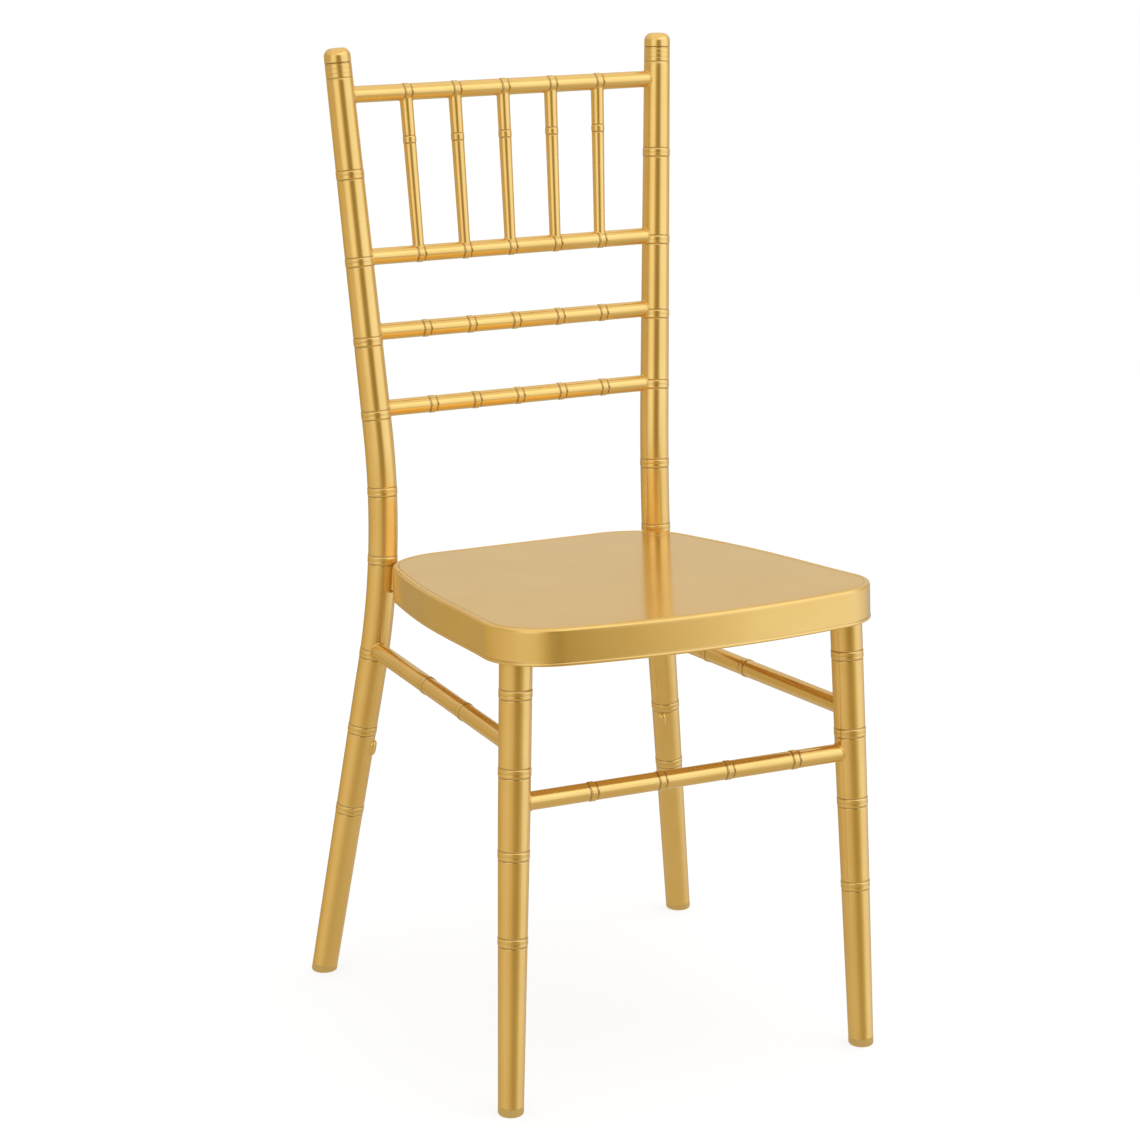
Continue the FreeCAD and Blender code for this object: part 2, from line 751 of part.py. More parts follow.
def straight_bar(name, start, end, diameters, wall, collars, neighbours, collar_kind="collar"):
    """A tapered tube from start to end with collars, its ends coped to its neighbours."""
    length = (end - start).Length
    start_radius, end_radius = (diameter / 2 for diameter in diameters)
    stations = [(0.0, start_radius), (length, end_radius)]
    for along in collars:
        stations += collar(collar_kind, along, blend(start_radius, end_radius, along / length))
    form = new_body(f"{name}_form", along_line(start, end))
    turn(form, f"{name}_outside", sorted(stations))
    bar_forms[name] = form
    early = start - (end - start).normalize() * overshoot
    bore = new_body(f"{name}_bore", along_line(early, end))
    bore_length = length + 2 * overshoot
    turn(bore, f"{name}_inside", [(0.0, start_radius - wall), (bore_length, end_radius - wall)])
    return finish(cope(name, form, [bore] + neighbours))


rail_diameters = (size("rail_diameter"), size("rail_diameter"))
rails = {
    "top_rail": (top_rail_height, size("top_rail_pitch")),
    "spindle_rail": (spindle_rail_height, size("spindle_rail_pitch")),
    "upper_cross_rail": (upper_cross_height, size("upper_cross_pitch")),
    "lower_cross_rail": (lower_cross_height, size("lower_cross_pitch")),
}
collar_steps = [number - (COLLARS_PER_RAIL - 1) / 2 for number in range(COLLARS_PER_RAIL)]
for name, (height, pitch) in rails.items():
    start = post_point(-1, height)
    end = post_point(1, height)
    middle = (end - start).Length / 2
    collars = [middle + step * pitch for step in collar_steps]
    straight_bar(name, start, end, rail_diameters, size("rail_wall"), collars, list(post_forms.values()))

spindle_diameters = (size("spindle_bottom_diameter"), size("spindle_top_diameter"))
for number, step in enumerate(collar_steps, 1):
    foot = post_point(1, spindle_rail_height)
    foot.x = step * size("spindle_rail_pitch")
    head = post_point(1, top_rail_height)
    head.x = step * size("top_rail_pitch")
    node = (head - foot).Length - size("spindle_node_drop")
    straight_bar(
        f"spindle_{number}", foot, head, spindle_diameters, size("spindle_wall"), [node],
        [bar_forms["spindle_rail"], bar_forms["top_rail"]], "spindle_collar")

rung_diameters = (size("rung_diameter"), size("rung_diameter"))
front_nodes = [
    size("front_rung_first_node") + step * size("front_rung_pitch") for step in range(FRONT_RUNG_NODES)]
straight_bar(
    "front_rung", leg_point(-1, size("front_rung_height")), leg_point(1, size("front_rung_height")),
    rung_diameters, size("rung_wall"), front_nodes, list(leg_forms.values()))
for side_name, side in SIDES.items():
    straight_bar(
        f"{side_name}_side_rung",
        post_point(side, size(f"{side_name}_rung_back_height")),
        leg_point(side, size(f"{side_name}_rung_front_height")),
        rung_diameters, size("rung_wall"),
        [size(f"{side_name}_rung_node_1"), size(f"{side_name}_rung_node_2")],
        [post_forms[side_name], leg_forms[side_name]])


# Caps and glides: a head as wide as the tube and a shank pushed into its bore

floor_span = 2 * size("overall_height")
floor_tool = block(
    "floor_tool", (floor_span, floor_span, floor_span),
    Placement(Vector(-floor_span / 2, -floor_span / 2, -floor_span), Rotation()))


def glide(name, foot, direction, radius, wall):
    """A bevelled glide under a tube, cut flat by the floor."""
    below = overshoot
    bevel_end = below + size("glide_bevel_height") - size("glide_height") / 2
    shank_radius = radius - wall - size("plug_clearance")
    head_top = below + size("glide_height")
    stations = [
        (0.0, radius - size("glide_bevel_depth") * 2),
        (bevel_end, radius - size("glide_bevel_depth") / 2),
        (bevel_end + size("glide_bevel_height"), radius),
        (head_top, radius),
        (head_top, shank_radius),
        (head_top + size("plug_length"), shank_radius),
    ]
    body = new_body(f"{name}_form", along_line(foot - direction * below, foot + direction))
    turn(body, f"{name}_turned", stations)
    return finish(cope(name, body, [floor_tool]))


for side_name, side in SIDES.items():
    foot = post_corners(side)[0]
    glide(f"{side_name}_back_glide", foot, post_directions(side)[0], lower_radius(tube_start), size("post_wall"))
    leg_direction = (leg_point(side, leg_head_height) - leg_point(side, 0)).normalize()
    glide(f"{side_name}_front_glide", leg_point(side, 0), leg_direction, leg_radius(tube_start), size("leg_wall"))

for side_name, side in SIDES.items():
    name = f"{side_name}_post_cap"
    cap_radius = upper_radius(tube_end)
    shank_radius = cap_radius - size("post_wall") - size("plug_clearance")
    shank_start = tube_end - size("plug_length")
    upper_direction = post_directions(side)[2]
    shank_point = post_corners(side)[2] - upper_direction * (upper_run - shank_start)
    body = new_body(name, along_line(shank_point, post_corners(side)[2]))
    turn(body, f"{name}_turned", [
        (0.0, shank_radius),
        (size("plug_length"), shank_radius),
        (size("plug_length"), cap_radius),
        (cap_end - shank_start, cap_radius)])
    crown = cap_end - shank_start
    round_edges(body, f"{name}_crown", size("cap_corner_radius"),
                lambda edge: edge.BoundBox.ZMin > crown - 1e-3)
    finish(body)


# Stacking bumpers: a pad on the inner front of each back leg, below its second node

for side_name, side in SIDES.items():
    name = f"{side_name}_stacking_bumper"
    bumper_height = size(f"{side_name}_bumper_node_height") - size("bumper_drop")
    lower_direction = post_directions(side)[0]
    turned = math.radians(size("bumper_turn"))
    outward = Vector(-side * math.sin(turned), -math.cos(turned), 0)
    outward = (outward - lower_direction * outward.dot(lower_direction)).normalize()
    turned_frame = Rotation(lower_direction.cross(outward), lower_direction, outward, "ZXY")
    corner = post_point(side, bumper_height)
    corner -= turned_frame.multVec(Vector(size("bumper_width") / 2, size("bumper_height") / 2, 0))
    reach = post_radius(bumper_height) + size("bumper_proud")
    pad_form = rounded_block(
        f"{name}_form", (size("bumper_width"), size("bumper_height"), reach),
        size("bumper_corner_radius"), Placement(corner, turned_frame))
    round_edges(pad_form, f"{name}_face", size("bumper_edge_radius"),
                lambda edge: edge.BoundBox.ZMin > reach - 1e-3)
    finish(cope(name, pad_form, [post_forms[side_name]]))


# Check everything, then write one file for each piece

doc.recompute()
for item in doc.Objects:
    for state in ("Invalid", "Error"):
        if state in item.State:
            raise RuntimeError(f"{item.Name} is {state}")
for piece in finished:
    shape = piece.Shape
    if shape.isNull() or not shape.isValid() or len(shape.Solids) != 1:
        raise RuntimeError(f"{piece.Label} is not one valid solid")
for piece in finished:
    piece.Shape.exportStep(f"parts/{piece.Label}.step")
print(len(finished), "pieces written")
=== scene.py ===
import math

import bpy
import numpy as np
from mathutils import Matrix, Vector


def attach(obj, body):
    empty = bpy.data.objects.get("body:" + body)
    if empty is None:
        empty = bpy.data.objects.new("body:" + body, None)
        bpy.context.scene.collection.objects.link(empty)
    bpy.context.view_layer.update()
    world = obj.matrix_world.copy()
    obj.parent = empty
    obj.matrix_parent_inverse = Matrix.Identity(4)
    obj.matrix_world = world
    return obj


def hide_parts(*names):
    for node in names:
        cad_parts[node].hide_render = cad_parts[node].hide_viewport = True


# The looks of a chiavari chair in gold painted steel, put on in the order the chair is welded up.
# Sizes are real ones in millimetres, as in the part's source; the meshes are stored in metres.
# +Z is up, +Y is the back, and left and right are as seen from the chair's front.

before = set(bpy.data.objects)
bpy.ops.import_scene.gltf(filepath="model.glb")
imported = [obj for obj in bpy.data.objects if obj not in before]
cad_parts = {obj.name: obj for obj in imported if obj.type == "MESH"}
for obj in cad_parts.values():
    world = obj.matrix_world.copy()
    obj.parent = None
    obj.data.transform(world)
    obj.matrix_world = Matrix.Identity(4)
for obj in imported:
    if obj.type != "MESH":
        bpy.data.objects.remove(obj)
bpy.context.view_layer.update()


# Camera
# It stands at the chair's front left, a little above the seat and about three metres off,
# behind a long lens, and looks at the middle of the chair.

camera = bpy.data.objects.new("camera", bpy.data.cameras.new("camera"))
camera.location = (-1.3532, -2.6785, 1.2256)
camera_aim = Vector((0.0, 0.0667, 0.4272))
camera.rotation_euler = (camera_aim - camera.location).to_track_quat("-Z", "Y").to_euler()
camera.data.sensor_width = 36.0
camera.data.lens = 103.96
bpy.context.scene.collection.objects.link(camera)
bpy.context.scene.camera = camera


# Back posts
# Each is one steel tube, swaged thinner to both ends, bent once behind the seat and rolled
# with bamboo nodes. Four rails and a rung are welded to it, then all is sprayed gold.

SIDES = {"left": -1, "right": 1}
OVERALL_HEIGHT = 920.0
SEAT_HEIGHT = 441.2
SEAT_TILT = math.radians(4.12)
POST_FOOT = (201.8, 217.1, 0.0)
POST_KNEE = (143.5, 167.9, 440.6)
POST_TOP = (170.5, 218.5, OVERALL_HEIGHT)
POST_BEND_RADIUS = 825.0
POST_FOOT_DIAMETER = 25.0
POST_BEND_DIAMETER = 28.4
POST_TOP_DIAMETER = 25.4
POST_TAPER_BELOW_BEND = 34.0
POST_WALL = 1.5
GLIDE_HEIGHT = 8.0
CAP_HEIGHT = 14.0
CAP_CORNER_RADIUS = 6.8
LOW_NODE_HEIGHT = 172.9
BUMPER_NODE_HEIGHTS = {"left": 253.7, "right": 237.0}
RUNG_NODE_HEIGHT = 334.4
SEAT_NODE_RISE = 1.9
BACK_NODE_RISE = 66.5
LOWER_CROSS_NODE_DROP = 4.8
UPPER_CROSS_NODE_DROP = 6.7
SPINDLE_RAIL_NODE_DROP = 3.4
HIGH_NODE_DROP = 118.0
# Length, rise, ramp at each end, depth of the waist and half width of the score lines
NODE = (8.6, 0.38, 1.2, 0.25, 0.5)
# Each post is fed by hand against the rollers, so its nodes sit a little off the even heights
NODE_SHIFTS = {"left": (1.5, 4.3, 1.6, 0.0, 2.5, 0.0, -1.0, 0.0, -1.0),
               "right": (0.0, 0.0, 1.6, 0.0, 1.5, 3.5, 1.5, -0.5, 1.5)}
# Below the cap the tube is scored with four fine rings: how far each is over their middle, and its
# share of the full depth, of which the lowest ring has most
CAP_RINGS = ((-6.6, 0.9), (-2.2, 0.25), (2.2, 0.25), (6.2, 0.3))
CAP_RINGS_DROP = 7.5
CAP_RING_HALF_WIDTH = 0.5
CAP_RING_DEPTH = 0.35
TOP_RAIL_HEIGHT = OVERALL_HEIGHT - 45.0
SPINDLE_RAIL_HEIGHT = TOP_RAIL_HEIGHT - 152.9
UPPER_CROSS_HEIGHT = SPINDLE_RAIL_HEIGHT - 71.6
LOWER_CROSS_HEIGHT = UPPER_CROSS_HEIGHT - 73.4
# The mesh: points round a tube, steps between its rows, fine steps at a node and how far they reach
TUBE_COLUMNS = 64
TUBE_STEP = 6.0
NODE_STEP = 0.35
POST_NODE_REACH = 7.5


def unit(vector):
    """The vector, or each row of an array of vectors, divided by its own length."""
    vector = np.asarray(vector, float)
    return vector / np.linalg.norm(vector, axis=-1, keepdims=True)


def seat_top(back):
    """Height of the seat's face: that at the middle less the tilt's tangent times the way back."""
    return SEAT_HEIGHT - math.tan(SEAT_TILT) * back


def bent_line(foot, knee, top, radius):
    """Centre line of a tube bent once: a straight run, an arc tangent to both runs and a straight
    run. Gives a function from distances along it to places, forward and inward directions, and
    where the arc starts, where it ends and the whole length."""
    foot, knee, top = (np.array(point, float) for point in (foot, knee, top))
    lower, upper = unit(knee - foot), unit(top - knee)
    turned = math.acos(lower @ upper)
    across = unit(upper - lower * (upper @ lower))
    reach = radius * math.tan(turned / 2)
    bend_start = np.linalg.norm(knee - foot) - reach
    bend_end = bend_start + radius * turned
    length = bend_end + np.linalg.norm(top - knee) - reach

    def at(along):
        along = np.atleast_1d(np.asarray(along, float))[:, None]
        angle = np.clip((along - bend_start) / radius, 0.0, turned)
        forward = lower * np.cos(angle) + across * np.sin(angle)
        inward = across * np.cos(angle) - lower * np.sin(angle)
        place = foot + lower * np.minimum(along, bend_start)
        place += radius * (lower * np.sin(angle) + across * (1 - np.cos(angle)))
        place += forward * np.maximum(along - bend_end, 0.0)
        return place, forward, inward

    return at, bend_start, bend_end, length


def rows_along(first, last, step, centres, reach, fine_step):
    """Distances for the rings of a tube: even steps, with fine steps round each node and at each
    end, and none closer than 0.2."""
    end_steps = np.array([0.0, 0.4, 1.2, 2.4])
    parts = [np.arange(first, last, step), first + end_steps, last - end_steps]
    parts += [np.arange(centre - reach, centre + reach + fine_step, fine_step) for centre in centres]
    rows = np.unique(np.round(np.concatenate(parts), 3))
    rows = rows[(rows >= first) & (rows <= last)]
    kept = np.concatenate([[True], np.diff(rows) > 0.2])
    kept[-1] = True
    return rows[kept]


def smooth_step(share):
    """Three share squared less two share cubed, held between nought and one."""
    share = np.clip(share, 0.0, 1.0)
    return share * share * (3 - 2 * share)


def rolled_node(along, centre, length, rise, ramp, waist, score_width):
    """A node's height over the tube and its painted shade: a swelling with smooth ramps and
    a bell shaped waist, 0.9 in half width, between two bell shaped score lines at its ends, which
    are 0.45 of their half width deep. The shade is painted into the score lines and the waist."""
    reach = np.abs(along - centre)
    middle = np.exp(-((reach / 0.9) ** 2))
    score = np.exp(-(((reach - length / 2) / score_width) ** 2))
    swelling = smooth_step((length / 2 - reach) / ramp)
    return (rise * swelling * (1 - waist * middle) - 0.45 * score_width * score,
            score + waist * middle)


def with_nodes(along, radius, centres, node):
    """The radius plus every node's height there, and the sum of the nodes' painted shade in their
    grooves.
    """
    groove_shade = np.zeros(len(along))
    for centre in centres:
        swelling, node_shade = rolled_node(along, centre, *node)
        radius, groove_shade = radius + swelling, groove_shade + node_shade
    return radius, groove_shade


def rings(place, side, cross, radius, columns):
    """Points of a tube's skin: each place plus its radius times the cosine along one direction and
    the sine along the other, at even angles."""
    angle = np.arange(columns) * 2 * math.pi / columns
    spoke = side[:, None, :] * np.cos(angle)[:, None] + cross[:, None, :] * np.sin(angle)[:, None]
    return place[:, None, :] + np.asarray(radius)[:, None, None] * spoke


def grid_faces(rows, columns, rows_close=False):
    """Quads of a grid whose columns close on themselves, and its rows too where asked."""
    row = np.arange(rows if rows_close else rows - 1)[:, None]
    column = np.arange(columns)[None, :]
    below, above = row * columns, (row + 1) % rows * columns
    beside = (column + 1) % columns
    corners = [below + column, below + beside, above + beside, above + column]
    return np.stack(corners, -1).reshape(-1, 4)


def skin_mesh(name, points, faces, material, groove_shade=()):
    """One mesh object from points in millimetres; the painted groove shade is that of the first
    points, and nought at the others. Summed over the faces, corner one cross corner two dot corner
    three is positive where they point outward; otherwise every face is turned round."""
    points = np.asarray(points, float).reshape(-1, 3)
    centred = points - points.mean(axis=0)
    volume = 0.0
    for group in faces:
        fan = centred[group]
        for corner in range(1, group.shape[1] - 1):
            volume += np.sum(np.cross(fan[:, 0], fan[:, corner]) * fan[:, corner + 1])
    rows = [row for group in faces for row in (group[:, ::-1] if volume < 0 else group).tolist()]
    mesh = bpy.data.meshes.new(name)
    mesh.from_pydata((points * 0.001).tolist(), [], rows)
    mesh.shade_smooth()
    mesh.set_sharp_from_angle(angle=math.radians(50.0))
    # Painted shade per point, for the paint to darken grooves and creases by
    depth = np.zeros(len(points), np.float32)
    depth[:len(groove_shade)] = groove_shade
    mesh.attributes.new("groove_shade", "FLOAT", "POINT").data.foreach_set("value", depth)
    mesh.materials.append(material)
    made = bpy.data.objects.new(name, mesh)
    bpy.context.scene.collection.objects.link(made)
    return made


def linear(colour):
    """An sRGB hex colour as linear RGBA: the low part divided by 12.92, the rest by the 2.4 power."""
    values = [int(colour[index:index + 2], 16) / 255 for index in (1, 3, 5)]
    return [v / 12.92 if v <= 0.04045 else ((v + 0.055) / 1.055) ** 2.4 for v in values] + [1.0]


def add_node(tree, kind, inputs=None, **settings):
    """One node with its settings. Each input is a value, or another node's output to link."""
    made = tree.nodes.new(kind)
    for key, value in settings.items():
        setattr(made, key, value)
    for key, value in (inputs or {}).items():
        if isinstance(value, bpy.types.NodeSocket):
            tree.links.new(value, made.inputs[key])
        else:
            made.inputs[key].default_value = value
    return made


def new_material(name):
    """A material with an empty node tree."""
    material = bpy.data.materials.new(name)
    material.use_nodes = True
    material.node_tree.nodes.clear()
    return material


def gold_lacquer(name, colour, shade, groove_shade_colour, roughness, peel):
    """Gold bronze pigment in lacquer, sprayed over steel and stoved under a clear coat. The pigment
    lies like foil, so the paint is metallic and satin; the clear coat adds a pale sheen at low
    angles. It is a little cloudy where the spray passes overlap. Grooves and creases are painted
    darker, as painted shade."""
    material = new_material(name)
    tree = material.node_tree
    place = add_node(tree, "ShaderNodeTexCoord").outputs["Object"]
    # Spray passes overlap about every 60 mm
    cloud = add_node(tree, "ShaderNodeTexNoise", {
        "Vector": place, "Scale": 1000 / 60, "Detail": 2.0, "Roughness": 0.5})
    # The pigment's own flakes are 0.03 mm; they are drawn 1.4 mm across so that they show at all
    flakes = add_node(tree, "ShaderNodeTexNoise", {
        "Vector": place, "Scale": 1000 / 1.4, "Detail": 1.0, "Roughness": 0.6})
    groove_shade = add_node(tree, "ShaderNodeAttribute", attribute_name="groove_shade").outputs["Fac"]
    cloud_share = add_node(tree, "ShaderNodeMapRange", {
        "Value": cloud.outputs["Fac"], "From Min": 0.35, "From Max": 0.65}).outputs["Result"]
    flake_share = add_node(tree, "ShaderNodeMapRange", {
        "Value": flakes.outputs["Fac"], "From Min": 0.3, "From Max": 0.7,
        "To Min": -0.08, "To Max": 0.08}).outputs["Result"]
    tone_share = add_node(tree, "ShaderNodeMath", {
        0: cloud_share, 1: flake_share}, operation="ADD", use_clamp=True).outputs[0]
    tone = add_node(tree, "ShaderNodeMix", {
        "Factor": tone_share, 6: linear(shade), 7: linear(colour)}, data_type="RGBA").outputs[2]
    # Painted shade: the tone is mixed toward the dark third colour where the mesh marks a groove or
    # crease, standing in for the shade that falls there
    groove_shade_share = add_node(tree, "ShaderNodeMath", {
        0: groove_shade, 1: 0.7}, operation="MULTIPLY", use_clamp=True).outputs[0]
    groove_shaded_tone = add_node(tree, "ShaderNodeMix", {
        "Factor": groove_shade_share, 6: tone, 7: linear(groove_shade_colour)}, data_type="RGBA").outputs[2]
    satin = add_node(tree, "ShaderNodeMapRange", {
        "Value": flakes.outputs["Fac"], "From Min": 0.3, "From Max": 0.7,
        "To Min": roughness - 0.02, "To Max": roughness + 0.02}).outputs["Result"]
    # Orange peel: the lacquer dries with soft dimples about 2.5 mm apart and a few microns deep
    dimples = add_node(tree, "ShaderNodeTexNoise", {
        "Vector": place, "Scale": 1000 / 2.5, "Detail": 0.0}).outputs["Fac"]
    bump = add_node(tree, "ShaderNodeBump", {
        "Height": dimples, "Strength": 1.0, "Distance": peel}).outputs["Normal"]
    surface = add_node(tree, "ShaderNodeBsdfPrincipled", {
        "Base Color": groove_shaded_tone, "Metallic": 0.8, "Roughness": satin, "Normal": bump,
        "Specular Tint": linear("#FFF2D8"),
        "Coat Weight": 1.0, "Coat Roughness": 0.12, "Coat IOR": 1.5})
    add_node(tree, "ShaderNodeOutputMaterial", {"Surface": surface.outputs["BSDF"]})
    return material


# Its third colour, a dark brown, is the painted shade in grooves and creases
tube_lacquer = gold_lacquer("stoved gold lacquer", "#E9BF66", "#E5B95F", "#6E4A10", 0.17, 2e-6)

posts = {}
for side_name, side in SIDES.items():
    post_at, bend_start, bend_end, post_length = bent_line(
        (side * POST_FOOT[0], *POST_FOOT[1:]), (side * POST_KNEE[0], *POST_KNEE[1:]),
        (side * POST_TOP[0], *POST_TOP[1:]), POST_BEND_RADIUS)
    steps = np.arange(0.0, post_length, 0.1)
    heights = post_at(steps)[0][:, 2]
    # The cap leans with the post, and the highest point of its rounded corner is at full height
    lean = math.acos(post_at(post_length)[1][0, 2])
    crown_drop = (POST_TOP_DIAMETER / 2 - CAP_CORNER_RADIUS) * math.sin(lean)
    crown_drop += CAP_CORNER_RADIUS * (1 - math.cos(lean))
    cap_top = post_length - crown_drop / math.cos(lean)
    tube_end = cap_top - CAP_HEIGHT
    knee_top = seat_top(POST_KNEE[1])
    node_heights = [
        LOW_NODE_HEIGHT, BUMPER_NODE_HEIGHTS[side_name], RUNG_NODE_HEIGHT,
        knee_top + SEAT_NODE_RISE, knee_top + BACK_NODE_RISE,
        LOWER_CROSS_HEIGHT - LOWER_CROSS_NODE_DROP, UPPER_CROSS_HEIGHT - UPPER_CROSS_NODE_DROP,
        SPINDLE_RAIL_HEIGHT - SPINDLE_RAIL_NODE_DROP, OVERALL_HEIGHT - HIGH_NODE_DROP]
    nodes = np.interp(np.add(node_heights, NODE_SHIFTS[side_name]), heights, steps)
    cap_rings = tube_end - CAP_RINGS_DROP

    def post_radius(along, bend_start=bend_start, bend_end=bend_end, post_length=post_length):
        """Plain radius: even taper up to just below the bend, constant in it, even taper above."""
        widths = [POST_FOOT_DIAMETER, POST_BEND_DIAMETER, POST_BEND_DIAMETER, POST_TOP_DIAMETER]
        stations = [0.0, bend_start - POST_TAPER_BELOW_BEND, bend_end, post_length]
        return np.interp(along, stations, widths) / 2

    outside = rows_along(GLIDE_HEIGHT, tube_end, TUBE_STEP, [*nodes, cap_rings], POST_NODE_REACH,
                         NODE_STEP)
    radius, groove_shade = with_nodes(outside, post_radius(outside), nodes, NODE)
    # Each ring is scored into the tube and painted darker by its depth share, as painted shade in the
    # score
    for ring, depth in CAP_RINGS:
        scored = np.exp(-(((outside - cap_rings - ring) / CAP_RING_HALF_WIDTH) ** 2))
        radius, groove_shade = radius - CAP_RING_DEPTH * depth * scored, groove_shade + depth * scored
    inside = np.linspace(tube_end, GLIDE_HEIGHT, 60)
    along = np.concatenate([outside, inside])
    place, forward, inward = post_at(along)
    post_points = rings(place, inward, np.cross(forward, inward),
                        np.concatenate([radius, post_radius(inside) - POST_WALL]), TUBE_COLUMNS)
    post = skin_mesh(f"{side_name}_post_tube", post_points,
                     [grid_faces(len(along), TUBE_COLUMNS, True)], tube_lacquer,
                     np.repeat(groove_shade, TUBE_COLUMNS))
    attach(post, "root")
    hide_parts(f"{side_name}_back_post")
    posts[side_name] = {"at": post_at, "radius": post_radius, "tube_end": tube_end,
                        "heights": heights, "steps": steps}


# Post caps
# A domed steel plug closes each post. Its head is as wide as the tube, its shank is pressed into
# the bore, and the seam is a fine line under the paint.

PLUG_LENGTH = 14.0
PLUG_CLEARANCE = 0.15
PLUG_COLUMNS = 48
CROWN_DOME = 1.0
# The seam between cap and tube: rises over the tube's end, and insets from its skin
CAP_SEAM = ((0.05, 0.45), (0.3, 0.12), (0.7, 0.0))


def straight_rings(origin, forward, along, radius, columns):
    """Rings of points round a straight axis, at distances along it and with the radii there."""
    side = unit(np.cross([0.0, 1.0, 0.0], forward))
    spread = np.ones((len(along), 1))
    return rings(origin + along[:, None] * forward, spread * side,
                 spread * np.cross(forward, side), radius, columns)


def closed_piece(name, body, material, groove_shade=(), ends=None):
    """A grid of rings closed by a fan of triangles at each end, about the point given for it or else
    the mean of its ring. Each ring has one value of painted groove shade."""
    count, columns = body.shape[:2]
    first_point, last_point = ends or (body[0].mean(axis=0), body[-1].mean(axis=0))
    points = np.concatenate([body.reshape(-1, 3), [first_point, last_point]])
    column = np.arange(columns)
    beside = (column + 1) % columns
    last = (count - 1) * columns
    start_fan = np.stack([np.full(columns, count * columns), beside, column], -1)
    end_fan = np.stack([last + column, last + beside, np.full(columns, count * columns + 1)], -1)
    return skin_mesh(name, points, [grid_faces(count, columns), start_fan, end_fan], material,
                     np.repeat(groove_shade, columns))


for side_name, post in posts.items():
    cap_radius = float(post["radius"](post["tube_end"]))
    shank_radius = cap_radius - POST_WALL - PLUG_CLEARANCE
    quarter = np.linspace(0.0, math.pi / 2, 14)
    corner = np.stack([CAP_HEIGHT - CAP_CORNER_RADIUS * (1 - np.sin(quarter)),
                       cap_radius - CAP_CORNER_RADIUS * (1 - np.cos(quarter))], -1)
    flat = cap_radius - CAP_CORNER_RADIUS
    corner[:, 0] -= CROWN_DOME * (corner[:, 1] / cap_radius) ** 2
    shank = [(-PLUG_LENGTH, shank_radius * 0.5), (-PLUG_LENGTH, shank_radius),
             (CAP_SEAM[0][0], shank_radius)]
    seam = [(rise, cap_radius - inset) for rise, inset in CAP_SEAM]
    profile = np.concatenate([
        shank, seam, [(2.0, cap_radius), (4.5, cap_radius)], corner,
        [(CAP_HEIGHT - CROWN_DOME * (flat * share / cap_radius) ** 2, flat * share)
         for share in (0.6, 0.25)]])
    # The seam's two rows are painted dark, as painted shade in the seam line
    groove_shade = np.zeros(len(profile))
    groove_shade[len(shank):len(shank) + 2] = 1.0
    cap_place, cap_forward, _ = post["at"](post["tube_end"])
    body = straight_rings(cap_place[0], cap_forward[0], profile[:, 0], profile[:, 1], PLUG_COLUMNS)
    cap = closed_piece(f"{side_name}_crown_plug", body, tube_lacquer, groove_shade)
    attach(cap, "root")
    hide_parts(f"{side_name}_post_cap")


# Front legs
# Straight steel tubes, swaged thinner to the foot and rolled with four nodes. Their heads stand in
# sockets under the seat, where the skirt hides the weld.

LEG_FOOT = (184.0, -185.8, 0.0)
LEG_HEAD = (166.9, -165.4, seat_top(-165.4))
LEG_FOOT_DIAMETER = 23.6
LEG_WAIST_DIAMETER = 29.0
LEG_HEAD_DIAMETER = 30.0
LEG_TAPER_HEIGHT = 275.0
LEG_WALL = 1.5
LEG_NODE_HEIGHTS = {"left": (163.0, 243.3, 319.0, 390.0), "right": (160.1, 241.8, 309.2, 383.5)}
LEG_TOP_GAP = 6.0
LEG_NODE_REACH = 7.0

legs = {}
for side_name, side in SIDES.items():
    foot = np.array((side * LEG_FOOT[0], *LEG_FOOT[1:]))
    head = np.array((side * LEG_HEAD[0], *LEG_HEAD[1:]))
    forward = unit(head - foot)
    slant = 1 / forward[2]
    leg_length = float(np.linalg.norm(head - foot))

    def leg_radius(along, slant=slant, leg_length=leg_length):
        """Plain radius: quick even taper from the foot to the waist, slow even taper to the head."""
        widths = [LEG_FOOT_DIAMETER, LEG_WAIST_DIAMETER, LEG_HEAD_DIAMETER]
        return np.interp(along, [0.0, LEG_TAPER_HEIGHT * slant, leg_length], widths) / 2

    nodes = np.array(LEG_NODE_HEIGHTS[side_name]) * slant
    outside = rows_along(GLIDE_HEIGHT, leg_length - LEG_TOP_GAP, TUBE_STEP, nodes, LEG_NODE_REACH,
                         NODE_STEP)
    radius, groove_shade = with_nodes(outside, leg_radius(outside), nodes, NODE)
    inside = np.linspace(leg_length - LEG_TOP_GAP, GLIDE_HEIGHT, 30)
    along = np.concatenate([outside, inside])
    radius = np.concatenate([radius, leg_radius(inside) - LEG_WALL])
    leg = skin_mesh(f"{side_name}_front_leg_tube",
                    straight_rings(foot, forward, along, radius, TUBE_COLUMNS),
                    [grid_faces(len(along), TUBE_COLUMNS, True)], tube_lacquer,
                    np.repeat(groove_shade, TUBE_COLUMNS))
    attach(leg, "root")
    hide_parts(f"{side_name}_front_leg")
    legs[side_name] = {"foot": foot, "forward": forward, "slant": slant, "radius": leg_radius}


# Glides
# A moulded nylon plug, tinted gold, is pushed into each foot. Its bevelled head is as wide as the
# tube and stands flat on the floor; it is a shade duller than the paint.

GLIDE_CORNER = 2.6
# The seam between glide and tube: drops below the tube's end, and insets from its skin
GLIDE_SEAM = ((0.5, 0.0), (0.15, 0.12), (0.05, 0.5))
LEVELLED_HEIGHT = 6.0

glide_nylon = new_material("moulded gold nylon")
tree = glide_nylon.node_tree
